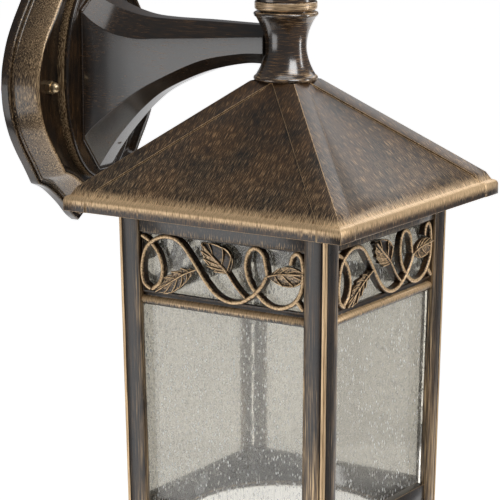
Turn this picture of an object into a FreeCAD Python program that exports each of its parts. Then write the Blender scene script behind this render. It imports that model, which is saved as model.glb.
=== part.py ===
import FreeCAD, Part
import math
import os
import sys

import Sketcher

# Outdoor wall lantern: a square tapering cage of four glass panes under a cast
# pyramid roof, hung from the end of a trumpet shaped arm on an escutcheon plate.
# The frame's origin is the centre of the wall plate on the wall. +Y goes into the
# wall, -Y comes out of it, +Z is up. Millimetres.

Vector = FreeCAD.Vector

# ---------------------------------------------------------------- driving sizes
# Every length that can be set by itself, with what it measures.
SIZES = [
    ("projection", 158.3, "wall to the lantern's own axis"),
    ("eave_drop", 62.5, "plate centre down to the underside of the eave"),
    ("roof_width", 185.0, "across the eave"),
    ("eave_height", 9.0, "upright band round the eave"),
    ("eave_round", 3.0, "rounded upper edge of the eave band"),
    ("roof_rise", 63.0, "top of the eave band up to the neck"),
    ("roof_top", 30.0, "across the flat top under the neck"),
    ("hip_width", 15.0, "raised band on each side of a hip"),
    ("hip_raise", 1.9, "how far a hip band stands out, measured level"),
    ("roof_wall", 4.0, "cast wall, measured level"),
    ("seat_thick", 3.0, "inner flange that the cage is screwed to"),
    ("seat_opening", 104.0, "square hole inside that flange"),
    ("cage_width", 140.0, "across the posts at the top"),
    ("cage_taper", 2.8, "how far each side leans in over its height"),
    ("cage_height", 190.0, "eave down to the base plate"),
    ("post_leg", 13.8, "leg of the angle that makes a corner post"),
    ("post_wall", 3.5, "thickness of that angle"),
    ("post_bevel", 1.6, "bevel along a post's outer corner"),
    ("rail_depth", 6.0, "post's outer face back to the glass"),
    ("rail_setback", 0.6, "rail's face behind the post's outer face"),
    ("rail_lap", 3.8, "how far a rail reaches behind a post"),
    ("top_rail_height", 12.0, "rail under the eave"),
    ("mid_rail_drop", 48.0, "eave down to the middle rail"),
    ("mid_rail_height", 7.2, "middle rail with its bead"),
    ("bead_size", 5.2, "half round bead on the middle rail"),
    ("bead_let_in", 0.4, "how deep the bead's flat back lies in the web"),
    ("bottom_rail_height", 14.3, "rail above the base plate"),
    ("glass_thick", 3.0, "seeded glass pane"),
    ("glass_top_drop", 6.0, "eave down to a pane's upper edge"),
    ("glass_foot_gap", 8.0, "base plate up to a pane's lower edge"),
    ("glass_gap", 0.6, "pane's side edge to the back of the pane beside it"),
    ("frieze_gap", 0.07, "back of the vine's border to the glass"),
    ("clip_width", 8.0, "glass clip"),
    ("clip_thick", 0.8, "sheet of a glass clip"),
    ("base_thick", 3.0, "base plate"),
    ("base_overhang", 0.8, "base plate past the posts"),
    ("base_hole", 118.0, "round hole for changing the lamp"),
    ("lug_radius", 3.0, "screw lug in a post's corner"),
    ("lug_inset", 6.2, "lug centre in from the post's outer faces"),
    ("lug_height", 12.0, "screw lug"),
    ("screw_radius", 1.5, "M3 cage screw"),
    ("screw_head", 2.4, "radius of its pan head"),
    ("screw_head_height", 1.8, "its pan head"),
    ("neck_height", 39.5, "turned neck on the roof"),
    ("neck_flange", 18.8, "radius of the neck's two flanges"),
    ("neck_waist", 12.2, "radius of its waist"),
    ("neck_rim", 3.0, "upright rim of a flange"),
    ("ring_radius", 18.2, "rounded ring on the neck"),
    ("ring_height", 6.0, "rounded ring"),
    ("ring_round", 1.8, "rounded lower edge of the ring"),
    ("ring_groove", 2.6, "depth of the groove under the ring"),
    ("finial_height", 40.0, "finial above the ring"),
    ("finial_radius", 13.0, "widest part of the finial's urn"),
    ("collar_height", 4.0, "straight collar at the finial's foot"),
    ("collar_step", 0.3, "collar inside the ring's radius"),
    ("tube_radius", 5.0, "M10 hanger tube"),
    ("tube_bore", 3.6, "radius of its wire way"),
    ("tube_fit", 0.05, "clearance round the tube"),
    ("tube_rise", 10.0, "tube up into the finial"),
    ("nut_across", 16.0, "hanger nut across its flats"),
    ("nut_height", 4.0, "hanger nut"),
    ("arm_centre", 30.0, "wire way above the plate's centre"),
    ("arm_bore", 4.5, "radius of the wire way"),
    ("plate_width", 132.0, "wall plate"),
    ("plate_height", 179.0, "wall plate, tip to tip"),
    ("plate_depth", 24.0, "wall to the plate's front edge"),
    ("plate_flange", 6.0, "thickness of the plate's rim"),
    ("plate_wall", 3.0, "cast wall of the plate"),
    ("plate_recess", 5.0, "hollow between front edge and oval"),
    ("oval_width", 70.0, "raised oval behind the arm"),
    ("oval_height", 128.0, "raised oval"),
    ("oval_lift", 4.0, "its centre above the plate's centre"),
    ("oval_raise", 2.4, "in front of the plate's front edge"),
    ("stud_spacing", 88.9, "between the two mounting studs"),
    ("stud_radius", 2.0, "M4 stud"),
    ("stud_fit", 0.05, "clearance between stud and cap nut"),
    ("stud_hole", 2.6, "radius of the plate's stud hole"),
    ("cap_nut_across", 7.0, "cap nut across its flats"),
    ("cap_nut_hex", 3.4, "height of its hexagon"),
    ("cap_nut_dome", 4.4, "height of its dome"),
    ("cap_nut_tip", 0.5, "radius of the flat on its dome"),
    ("cap_nut_crown", 2.0, "metal left over the end of its bore"),
    ("bracket_length", 110.0, "mounting bracket"),
    ("bracket_height", 22.0, "mounting bracket"),
    ("bracket_thick", 2.0, "mounting bracket"),
    ("slot_spacing", 60.0, "between the bracket's two slots"),
    ("slot_length", 14.0, "slot, end to end"),
    ("slot_radius", 2.3, "half a slot's width"),
    ("entry_radius", 8.0, "cable entry in the bracket"),
    ("earth_radius", 2.0, "M4 earth screw"),
    ("earth_across", 15.0, "earth screw from the bracket's middle"),
    ("arm_screw_radius", 2.5, "M5 arm screw"),
    ("arm_screw_upper", 45.0, "upper arm screw above the plate's centre"),
    ("arm_screw_lower", 36.0, "lower arm screw below the plate's centre"),
    ("arm_screw_reach", 12.0, "arm screw into the arm"),
    ("holder_radius", 20.0, "lampholder body"),
    ("holder_height", 44.0, "lampholder body"),
    ("holder_web", 11.0, "solid top of the lampholder body"),
    ("holder_drop", 24.0, "neck's seat down to the lampholder cap"),
    ("cap_height", 10.0, "lampholder cap"),
    ("cap_sheet", 1.2, "sheet of the lampholder cap"),
    ("shell_radius", 13.2, "inside the E27 thread shell"),
    ("shell_sheet", 0.6, "thread shell"),
    ("shell_length", 22.0, "thread shell"),
    ("shell_inset", 4.0, "thread shell above the lampholder's mouth"),
    ("contact_radius", 5.0, "centre contact"),
    ("contact_thick", 1.5, "centre contact"),
    ("contact_gap", 4.0, "contact's spring space"),
    ("contact_stem", 2.0, "radius of the contact's stem"),
    ("contact_fit", 0.05, "clearance round the stem"),
    ("spring_wire", 0.35, "radius of the contact spring's wire"),
    ("spring_radius", 3.2, "contact spring, to the wire's centre"),
]

doc = FreeCAD.newDocument("WallLantern")
sheet = doc.addObject("Spreadsheet::Sheet", "Sizes")
for row, (alias, number, meaning) in enumerate(SIZES, start=1):
    sheet.set(f"A{row}", alias.replace("_", " "))
    sheet.set(f"B{row}", str(number))
    sheet.set(f"C{row}", meaning)
    sheet.setAlias(f"B{row}", alias)
doc.recompute()

NODES = {}


# ---------------------------------------------------------------- small helpers
def bound(text):
    """Turn the sheet's names in an expression into references to its cells."""
    words = str(text).replace("(", " ( ").replace(")", " ) ").split()
    names = {alias for alias, number, meaning in SIZES}
    return " ".join(f"Sizes.{word}" if word in names else word for word in words)


def worth(text):
    """The number that an expression of the sheet's names comes to."""
    return float(sheet.evalExpression(bound(text)))


def keep(thing, label):
    """Give a finished sub-part its name and list it for writing."""
    thing.Label = label
    NODES[label] = thing
    return thing


def place(thing, x="0", y="0", z="0", turn=None):
    """Put a sub-part in the frame, its position tied to the sheet."""
    if turn is not None:
        thing.Placement = FreeCAD.Placement(Vector(), turn)
    for axis, text in zip("xyz", (x, y, z)):
        thing.setExpression(f"Placement.Base.{axis}", bound(text))
    return thing


def on_axis(thing, quarter=0):
    """Hang a piece on the lantern's axis, level zero at the eave's underside."""
    turn = FreeCAD.Rotation(Vector(0, 0, 1), 90 * quarter)
    return place(thing, "0", "0 - projection", "0 - eave_drop", turn)


def new_body(name):
    return doc.addObject("PartDesign::Body", name)


def new_sketch(body, role, level="0"):
    """A sketch on one of the body's own origin planes, moved along its normal."""
    sketch = body.newObject("Sketcher::SketchObject", body.Name + "_sketch")
    planes = {item.Role: item for item in body.Origin.OriginFeatures}
    sketch.AttachmentSupport = [(planes[role], "")]
    sketch.MapMode = "FlatFace"
    sketch.setExpression("AttachmentOffset.Base.z", bound(level))
    return sketch


def pin_point(sketch, edge, end, x, y):
    """Tie one point of a sketch to expressions for its two coordinates."""
    for kind, text in (("DistanceX", x), ("DistanceY", y)):
        number = sketch.addConstraint(Sketcher.Constraint(kind, -1, 1, edge, end, worth(text)))
        sketch.setExpression(f"Constraints[{number}]", bound(text))


def polygon(sketch, corners):
    """A closed outline; a corner (x, y, mx, my) bows to the next one through (mx, my)."""
    first = sketch.GeometryCount
    count = len(corners)
    ends = [Vector(worth(corner[0]), worth(corner[1]), 0) for corner in corners]
    order = []
    for index, corner in enumerate(corners):
        start = ends[index]
        stop = ends[(index + 1) % count]
        if len(corner) == 2:
            sketch.addGeometry(Part.LineSegment(start, stop))
            order.append((1, 2))
            continue
        middle = Vector(worth(corner[2]), worth(corner[3]), 0)
        # A sketch's arcs run anticlockwise, so one that turns right is drawn backwards.
        if (middle - start).cross(stop - start).z > 0:
            sketch.addGeometry(Part.Arc(start, middle, stop))
            order.append((1, 2))
        else:
            sketch.addGeometry(Part.Arc(stop, middle, start))
            order.append((2, 1))
    for index, corner in enumerate(corners):
        following = (index + 1) % count
        joined = (first + index, order[index][1], first + following, order[following][0])
        sketch.addConstraint(Sketcher.Constraint("Coincident", *joined))
        pin_point(sketch, first + index, order[index][0], corner[0], corner[1])
    return sketch


def circle(sketch, radius, x="0", y="0"):
    """A circle whose radius and centre are tied to the sheet."""
    edge = sketch.addGeometry(Part.Circle(Vector(worth(x), worth(y), 0), Vector(0, 0, 1), worth(radius)))
    pin_point(sketch, edge, 3, x, y)
    number = sketch.addConstraint(Sketcher.Constraint("Radius", edge, worth(radius)))
    sketch.setExpression(f"Constraints[{number}]", bound(radius))
    return sketch


def square(sketch, half):
    return polygon(sketch, box_corners(half, half))


def box_corners(half_x, half_y):
    """Corners of a rectangle about the sketch's origin."""
    return [
        (f"0 - ( {half_x} )", f"0 - ( {half_y} )"),
        (f"{half_x}", f"0 - ( {half_y} )"),
        (f"{half_x}", f"{half_y}"),
        (f"0 - ( {half_x} )", f"{half_y}"),
    ]


def pad(body, sketch, length, midplane=False, reverse=False):
    feature = body.newObject("PartDesign::Pad", body.Name + "_pad")
    feature.Profile = sketch
    feature.setExpression("Length", bound(length))
    feature.Midplane = midplane
    feature.Reversed = reverse
    return feature


def pocket(body, sketch, length, reverse=False):
    """Cut a sketch's outline out of the body and make sure that something went."""
    doc.recompute()
    before = body.Shape.Volume
    feature = body.newObject("PartDesign::Pocket", body.Name + "_pocket")
    feature.Profile = sketch
    feature.setExpression("Length", bound(length))
    feature.Reversed = reverse
    doc.recompute()
    if not body.Shape.Volume < before - 1e-3:
        sys.exit(f"{body.Name}: a pocket cut nothing")
    return feature


def loft(body, sketches, cut=False, ruled=True):
    kind = "PartDesign::SubtractiveLoft" if cut else "PartDesign::AdditiveLoft"
    feature = body.newObject(kind, body.Name + "_loft")
    feature.Profile = sketches[0]
    feature.Sections = sketches[1:]
    feature.Ruled = ruled
    return feature


def turned(name, corners):
    """A body turned about its own Z axis from a profile of (radius, height) corners."""
    body = new_body(name)
    sketch = polygon(new_sketch(body, "XZ_Plane"), corners)
    feature = body.newObject("PartDesign::Revolution", name + "_turn")
    feature.Profile = sketch
    feature.ReferenceAxis = (sketch, ["V_Axis"])
    feature.Angle = 360
    return body


def copy_of(source, name):
    """A clone of a finished body, with a placement of its own."""
    body = new_body(name)
    feature = body.newObject("PartDesign::FeatureBase", name + "_clone")
    feature.BaseFeature = source
    body.Tip = feature
    return body


SIDES = ("front", "right", "back", "left")
CORNERS = ("front_left", "front_right", "back_right", "back_left")


def four_times(body, stem, names):
    """One piece on each side or corner of the cage, a quarter turn apart."""
    keep(on_axis(body), f"{stem}_{names[0]}")
    for quarter in (1, 2, 3):
        twin = copy_of(body, f"{stem}_{names[quarter]}")
        keep(on_axis(twin, quarter), twin.Name)


# ---------------------------------------------------------------- cage geometry
def cage_half(drop):
    """Half the cage's width at a distance below the eave."""
    return f"( cage_width / 2 - cage_taper * ( {drop} ) / cage_height )"


def between_posts(drop):
    """Half the clear width between two posts at a distance below the eave."""
    return f"( {cage_half(drop)} - post_leg )"


def face_depth(drop, depth):
    """Y of a point a given depth behind the front side's outer face."""
    return f"0 - ( {cage_half(drop)} - ( {depth} ) )"


def post_section(sketch, drop):
    """The angle's outline at the front left corner."""
    outer = f"0 - {cage_half(drop)}"
    inner = f"{outer} + post_wall"
    end = f"{outer} + post_leg"
    bevel = f"{outer} + post_bevel"
    corners = [(bevel, outer), (end, outer), (end, inner), (inner, inner)]
    corners += [(inner, end), (outer, end), (outer, bevel)]
    return polygon(sketch, corners)


def build_posts():
    body = new_body("corner_post_front_left")
    top = post_section(new_sketch(body, "XY_Plane"), "0")
    foot = post_section(new_sketch(body, "XY_Plane", "0 - cage_height"), "cage_height")
    loft(body, [top, foot])
    for level, drop, down in (("0", "0", True), ("0 - cage_height", "cage_height", False)):
        centre = f"lug_inset - {cage_half(drop)}"
        lug = circle(new_sketch(body, "XY_Plane", level), "lug_radius", centre, centre)
        pad(body, lug, "lug_height", reverse=down)
        bore = circle(new_sketch(body, "XY_Plane", level), "screw_radius", centre, centre)
        pocket(body, bore, "lug_height", reverse=not down)
    doc.recompute()
    four_times(body, "corner_post", CORNERS)


def rail_section(sketch, drop, setback):
    """A rail from above: its face between the posts, its back lapped behind them."""
    inner = between_posts(drop)
    lapped = f"( {inner} + rail_lap )"
    front = face_depth(drop, setback)
    step = face_depth(drop, "post_wall")
    back = face_depth(drop, "rail_depth")
    right = [(inner, front), (inner, step), (lapped, step), (lapped, back)]
    left = [(f"0 - {x}", y) for x, y in reversed(right)]
    return polygon(sketch, right + left)


def rail_body(name, top_drop, foot_drop, setback="rail_setback"):
    body = new_body(name)
    top = rail_section(new_sketch(body, "XY_Plane", f"0 - ( {top_drop} )"), top_drop, setback)
    foot = rail_section(new_sketch(body, "XY_Plane", f"0 - ( {foot_drop} )"), foot_drop, setback)
    loft(body, [top, foot])
    return body


def build_rails():
    top = rail_body("top_rail_front", "0", "top_rail_height")
    bottom = rail_body("bottom_rail_front", "cage_height - bottom_rail_height", "cage_height")
    foot_drop = "mid_rail_drop + mid_rail_height"
    # The middle rail's web stands back, so that the half round bead on it ends up
    # level with the faces of the other rails. The bead's back is let into the web.
    web_setback = "rail_setback + bead_size / 2"
    middle = rail_body("mid_rail_front", "mid_rail_drop", foot_drop, web_setback)
    bead_axis = face_depth(foot_drop, f"{web_setback} + bead_let_in")
    bead_level = "bead_size / 2 - mid_rail_drop - mid_rail_height"
    upper = f"{bead_level} + bead_size / 2"
    lower = f"{bead_level} - bead_size / 2"
    front = f"{bead_axis} - bead_size / 2"
    outline = [(bead_axis, upper, front, bead_level), (bead_axis, lower)]
    sketch = polygon(new_sketch(middle, "YZ_Plane"), outline)
    pad(middle, sketch, f"2 * {between_posts(foot_drop)}", midplane=True)
    doc.recompute()
    four_times(top, "top_rail", SIDES)
    four_times(middle, "mid_rail", SIDES)
    four_times(bottom, "bottom_rail", SIDES)


def pane_section(sketch, drop):
    half = f"( {cage_half(drop)} - rail_depth - glass_thick - glass_gap )"
    front = face_depth(drop, "rail_depth")
    back = face_depth(drop, "rail_depth + glass_thick")
    corners = [(f"0 - {half}", front), (half, front), (half, back), (f"0 - {half}", back)]
    return polygon(sketch, corners)


def build_panes():
    body = new_body("glass_pane_front")
    foot = "cage_height - glass_foot_gap"
    upper = pane_section(new_sketch(body, "XY_Plane", "0 - glass_top_drop"), "glass_top_drop")
    lower = pane_section(new_sketch(body, "XY_Plane", f"0 - ( {foot} )"), foot)
    loft(body, [upper, lower])
    doc.recompute()
    four_times(body, "glass_pane", SIDES)


def build_clips():
    """Bent tabs on the rails' backs: each holds the edge of a pane."""
    foot = "cage_height - glass_foot_gap"
    bends = (
        ("0.6", "glass_top_drop - 0.3", "glass_top_drop + 6"),
        ("cage_height - 0.6", f"{foot} + 0.3", f"{foot} - 6"),
    )
    tabs = []
    for index, (end, bend, tip) in enumerate(bends):
        body = new_body(f"clip_{index}")
        away = "clip_thick" if index == 0 else "( 0 - clip_thick )"
        steps = [
            (end, "rail_depth"),
            (bend, "rail_depth"),
            (bend, "rail_depth + glass_thick"),
            (tip, "rail_depth + glass_thick"),
            (tip, "rail_depth + glass_thick + clip_thick"),
            (f"{bend} - {away}", "rail_depth + glass_thick + clip_thick"),
            (f"{bend} - {away}", "rail_depth + clip_thick"),
            (end, "rail_depth + clip_thick"),
        ]
        outline = [(face_depth(drop, depth), f"0 - ( {drop} )") for drop, depth in steps]
        sketch = polygon(new_sketch(body, "YZ_Plane"), outline)
        pad(body, sketch, "clip_width", midplane=True)
        doc.recompute()
        tabs.append(body)
        for quarter in (1, 2, 3):
            twin = copy_of(body, f"clip_{index}_{quarter}")
            twin.Placement = FreeCAD.Placement(Vector(), FreeCAD.Rotation(Vector(0, 0, 1), 90 * quarter))
            tabs.append(twin)
    group = doc.addObject("Part::Compound", "glass_clips")
    group.Links = tabs
    keep(on_axis(group), "glass_clips")


# ---------------------------------------------------------------- vine fretwork
# Centre lines in the plane of a side: across from the middle, and below the eave.
# They are drawn for the opening below, and stretched to the one that the sizes give.
DRAWN_REACH = 55.846
DRAWN_TOP = 12.0
DRAWN_FOOT = 48.0
VINE = [(-48, 45.4), (-53, 41.5), (-54.2, 32), (-51, 21), (-43, 14.8), (-34.5, 13.4)]
VINE += [(-27, 16.2), (-19, 25), (-10.5, 36), (-3, 43), (5, 46.1), (14, 45.2)]
VINE += [(22.5, 40), (28, 34), (31, 28.7)]
TENDRIL = [(-54.9, 14.4), (-49, 17.5), (-43, 24), (-40.3, 33), (-42.5, 41), (-48, 45.4)]
LOOP = [(46, 20.5), (47.6, 15.4), (50.8, 13.8), (53.4, 17.5), (54.2, 26), (52.8, 35)]
LOOP += [(48, 42), (40, 45.7), (32, 45), (24, 39.5), (18.6, 32.5), (16.6, 24)]
LOOP += [(18.8, 16), (23.5, 13.6), (28.2, 17), (30, 23.5), (31, 28.7)]
SPUR = [(50.4, 41), (52.6, 43.4), (54.5, 45.5)]
STEM = [(18, 43.6), (11, 37.5), (3, 28), (-5, 21.5), (-12.5, 15)]
LEAF_RIBS = [
    [(-16, 30), (-25, 34), (-34, 39.5), (-44.5, 46.4)],
    [(31, 28.7), (38, 26.6), (46, 25.6), (55.2, 25)],
]
LEAVES = [
    [(-18, 30.6), (-25, 30.3), (-33.5, 33.4), (-40, 38.6)]
    + [(-44.5, 46.4), (-36, 46.9), (-26.5, 41), (-20, 34)],
    [(4, 29.5), (7.4, 23), (4.5, 17), (-3, 14.6), (-12.5, 14.4), (-13.4, 20), (-10.5, 26), (-3.5, 30)],
    [(32, 28.8), (38, 24), (45, 22), (52, 23.3), (55.2, 25), (52, 30.4), (45, 33), (38, 32)],
]
STRAND = 2.1


def fitted(points):
    """The points of a line, moved from the drawn opening to the real one."""
    across = worth(between_posts("mid_rail_drop / 2")) / DRAWN_REACH
    top = worth("top_rail_height")
    down = (worth("mid_rail_drop") - top) / (DRAWN_FOOT - DRAWN_TOP)
    return [(x * across, top + (drop - DRAWN_TOP) * down) for x, drop in points]


def offset_edge(points, side):
    """A smooth edge that keeps half a strand's width from a centre line."""
    centre = Part.BSplineCurve()
    centre.interpolate([Vector(x, -drop, 0) for x, drop in points])
    shape = centre.toShape()
    count = 2 * len(points)
    moved = []
    for step in range(count + 1):
        where = centre.FirstParameter + (centre.LastParameter - centre.FirstParameter) * step / count
        along = shape.tangentAt(where)
        moved.append(centre.value(where) + Vector(-along.y, along.x, 0) * side * STRAND / 2)
    if side < 0:
        moved.reverse()
    edge = Part.BSplineCurve()
    edge.interpolate(moved)
    return edge, moved[0], moved[-1]


def add_strand(body, points, near, far):
    """One round-edged strand of the vine, between two depths behind the side's face."""
    sketch = new_sketch(body, "XZ_Plane", f"{cage_half('mid_rail_drop / 2')} - ( {near} )")
    line = fitted(points)
    left, left_start, left_stop = offset_edge(line, 1)
    right, right_start, right_stop = offset_edge(line, -1)
    sketch.addGeometry(left)
    sketch.addGeometry(Part.LineSegment(left_stop, right_start))
    sketch.addGeometry(right)
    sketch.addGeometry(Part.LineSegment(right_stop, left_start))
    pad(body, sketch, f"{far} - {near}", reverse=True)


def add_leaf(body, points, near, far):
    """A flat leaf blade from its closed outline."""
    sketch = new_sketch(body, "XZ_Plane", f"{cage_half('mid_rail_drop / 2')} - ( {near} )")
    blade = Part.BSplineCurve()
    blade.interpolate([Vector(x, -drop, 0) for x, drop in fitted(points)], PeriodicFlag=True)
    sketch.addGeometry(blade)
    pad(body, sketch, f"{far} - {near}", reverse=True)


def build_vines():
    body = new_body("vine_frieze_front")
    # A thin border fills the opening between posts and rails, and the vine hangs in it.
    border_depth = "2.2"
    top = "top_rail_height"
    foot = "mid_rail_drop"
    sketch = new_sketch(body, "XZ_Plane", f"{cage_half(foot)} - {border_depth}")
    outer = [(f"0 - {between_posts(foot)}", f"0 - {foot}"), (between_posts(foot), f"0 - {foot}")]
    outer += [(between_posts(top), f"0 - {top}"), (f"0 - {between_posts(top)}", f"0 - {top}")]
    polygon(sketch, outer)
    edge = "1.3"
    inner = [(f"{edge} - {between_posts(foot)}", f"{edge} - {foot}")]
    inner += [(f"{between_posts(foot)} - {edge}", f"{edge} - {foot}")]
    inner += [(f"{between_posts(top)} - {edge}", f"0 - {edge} - {top}")]
    inner += [(f"{edge} - {between_posts(top)}", f"0 - {edge} - {top}")]
    polygon(sketch, inner)
    clear = f"{cage_half(top)} - rail_depth + frieze_gap"
    pad(body, sketch, f"{cage_half(foot)} - {border_depth} - ( {clear} )", reverse=True)
    add_strand(body, VINE, "0", "rail_depth - 1.4")
    add_strand(body, TENDRIL, "0.9", "rail_depth - 1.1")
    add_strand(body, LOOP, "0.7", "rail_depth - 1.2")
    add_strand(body, SPUR, "1.1", "rail_depth - 1.3")
    add_strand(body, STEM, "0.3", "rail_depth - 1.5")
    for rib in LEAF_RIBS:
        add_strand(body, rib, "0.5", "rail_depth - 1.6")
    for leaf in LEAVES:
        add_leaf(body, leaf, "1.5", "rail_depth - 1.8")
    doc.recompute()
    four_times(body, "vine_frieze", SIDES)


# ---------------------------------------------------------------- roof and base
def roof_half(level):
    """Half the width inside the hip bands at a height above the eave band."""
    lean = f"( roof_width / 2 - roof_top / 2 ) * ( {level} ) / roof_rise"
    return f"( roof_width / 2 - hip_raise - {lean} )"


def hip_section(sketch, level):
    outer = f"( {roof_half(level)} + hip_raise )"
    inner = f"( {roof_half(level)} - 0.4 )"
    end = f"( {outer} - hip_width )"
    bend = [(outer, outer), (end, outer), (end, inner), (inner, inner), (inner, end), (outer, end)]
    return polygon(sketch, [(f"0 - {x}", f"0 - {y}") for x, y in bend])


def build_roof():
    body = new_body("roof")
    eave = square(new_sketch(body, "XY_Plane"), "roof_width / 2")
    band = pad(body, eave, "eave_height")
    doc.recompute()
    rounding = body.newObject("PartDesign::Fillet", "roof_round")
    crown = max(band.Shape.Faces, key=lambda face: face.CenterOfMass.z)
    number = [face.isSame(crown) for face in band.Shape.Faces].index(True) + 1
    rounding.Base = (band, [f"Face{number}"])
    rounding.setExpression("Radius", bound("eave_round"))
    doc.recompute()
    foot = square(new_sketch(body, "XY_Plane", "eave_height - 0.5"), roof_half("0 - 0.5"))
    top = square(new_sketch(body, "XY_Plane", "eave_height + roof_rise"), roof_half("roof_rise"))
    loft(body, [foot, top])
    foot = hip_section(new_sketch(body, "XY_Plane", "eave_height"), "0")
    top = hip_section(new_sketch(body, "XY_Plane", "eave_height + roof_rise"), "roof_rise")
    hip = loft(body, [foot, top])
    doc.recompute()
    ring = body.newObject("PartDesign::PolarPattern", "roof_hips")
    ring.Originals = [hip]
    ring.Axis = (top, ["N_Axis"])
    ring.Angle = 360
    ring.Occurrences = 4
    body.Tip = ring
    doc.recompute()
    ceiling = "( roof_rise - roof_wall )"
    inside = f"{roof_half('0')} - roof_wall"
    foot = square(new_sketch(body, "XY_Plane", "eave_height"), inside)
    knee_half = f"{roof_half(ceiling)} - roof_wall"
    knee = square(new_sketch(body, "XY_Plane", f"eave_height + {ceiling}"), knee_half)
    loft(body, [foot, knee], cut=True)
    eave_space = square(new_sketch(body, "XY_Plane", "seat_thick"), inside)
    pocket(body, eave_space, "eave_height - seat_thick", reverse=True)
    pocket(body, square(new_sketch(body, "XY_Plane"), "seat_opening / 2"), "seat_thick + 1", reverse=True)
    hole = circle(new_sketch(body, "XY_Plane", "eave_height + roof_rise"), "tube_radius + tube_fit")
    pocket(body, hole, "roof_wall + 4")
    for x in (-1, 1):
        for y in (-1, 1):
            spot = f"( {cage_half('0')} - lug_inset )"
            sketch = new_sketch(body, "XY_Plane")
            circle(sketch, "screw_radius", f"{x} * {spot}", f"{y} * {spot}")
            pocket(body, sketch, "seat_thick", reverse=True)
    doc.recompute()
    keep(on_axis(body), "roof")


def build_base():
    body = new_body("base_plate")
    half = f"{cage_half('cage_height')} + base_overhang"
    outline = square(new_sketch(body, "XY_Plane", "0 - cage_height"), half)
    pad(body, outline, "base_thick", reverse=True)
    hole = circle(new_sketch(body, "XY_Plane", "0 - cage_height"), "base_hole / 2")
    pocket(body, hole, "base_thick")
    spot = f"( {cage_half('cage_height')} - lug_inset )"
    for x in (-1, 1):
        for y in (-1, 1):
            sketch = new_sketch(body, "XY_Plane", "0 - cage_height")
            circle(sketch, "screw_radius", f"{x} * {spot}", f"{y} * {spot}")
            pocket(body, sketch, "base_thick")
    doc.recompute()
    keep(on_axis(body), "base_plate")


def screw_group(label, drop, start, reach, head_below):
    """Four pan head screws, one up through each corner of the cage."""
    shanks = []
    for quarter in range(4):
        corners = [("0", f"0 - {head_below}"), ("screw_head", f"0 - {head_below}")]
        corners += [("screw_head", "0"), ("screw_radius", "0"), ("screw_radius", reach), ("0", reach)]
        screw = turned(f"{label}_{quarter}", corners)
        x = (-1, 1, 1, -1)[quarter]
        y = (-1, -1, 1, 1)[quarter]
        spot = f"( {cage_half(drop)} - lug_inset )"
        place(screw, f"{x} * {spot}", f"{y} * {spot}", start)
        shanks.append(screw)
    group = doc.addObject("Part::Compound", label)
    group.Links = shanks
    keep(on_axis(group), label)


def build_screws():
    screw_group("roof_screws", "0", "0 - lug_height", "lug_height + seat_thick", "screw_head_height")
    start = "0 - cage_height - base_thick"
    screw_group("base_screws", "cage_height", start, "base_thick + lug_height - 1", "screw_head_height")


# ---------------------------------------------------------------- neck and finial
ROOF_TOP = "( eave_height + roof_rise )"
NECK_TOP = f"( {ROOF_TOP} + neck_height )"
RING_TOP = f"( {NECK_TOP} + ring_height )"


def build_neck():
    bore = "( tube_radius + tube_fit )"
    lower = f"( {ROOF_TOP} + neck_rim )"
    upper = f"( {NECK_TOP} - neck_rim )"
    middle = f"( ( {lower} + {upper} ) / 2 )"
    shoulder = "( neck_flange - 1.4 )"
    corners = [
        (bore, ROOF_TOP),
        ("neck_flange", ROOF_TOP),
        ("neck_flange", lower),
        (shoulder, lower, "neck_waist", middle),
        (shoulder, upper),
        ("neck_flange", upper),
        ("neck_flange", NECK_TOP),
        (bore, NECK_TOP),
    ]
    body = turned("neck", corners)
    way = circle(new_sketch(body, "XZ_Plane"), "arm_bore", "0", "arm_centre + eave_drop")
    pocket(body, way, "neck_flange")
    doc.recompute()
    keep(on_axis(body), "neck")

    groove = "( ring_radius - ring_groove )"
    seat = f"( {NECK_TOP} + 1 )"
    foot = "( ring_radius - ring_round )"
    corners = [
        (bore, NECK_TOP),
        (groove, NECK_TOP),
        (groove, seat),
        (foot, seat, "ring_radius - ring_round * 0.29", f"{seat} + ring_round * 0.29"),
        ("ring_radius", f"{seat} + ring_round"),
        ("ring_radius", RING_TOP),
        (bore, RING_TOP),
    ]
    body = turned("neck_ring", corners)
    doc.recompute()
    keep(on_axis(body), "neck_ring")


def build_finial():
    """A turned urn with a pointed tip, threaded down on the hanger tube."""
    bore = "( tube_radius + tube_fit )"
    deep = f"{RING_TOP} + tube_rise + 1"

    def up(share):
        return f"( {RING_TOP} + finial_height * {share} )"

    collar = "( ring_radius - collar_step )"
    rise = f"( {RING_TOP} + collar_height )"
    corners = [
        ("0", deep),
        (bore, deep),
        (bore, RING_TOP),
        (collar, RING_TOP),
        (collar, rise),
        ("finial_radius - 1", rise, "finial_radius * 0.55", up(0.2)),
        ("finial_radius * 0.62", up(0.26), "finial_radius", up(0.46)),
        ("finial_radius * 0.45", up(0.65), "finial_radius * 0.3", up(0.7)),
        ("finial_radius * 0.35", up(0.76), "finial_radius * 0.42", up(0.85)),
        ("finial_radius * 0.2", up(0.93)),
        ("0", up(1)),
    ]
    body = turned("finial", corners)
    doc.recompute()
    keep(on_axis(body), "finial")


CAP_TOP = f"( {ROOF_TOP} - holder_drop )"


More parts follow.
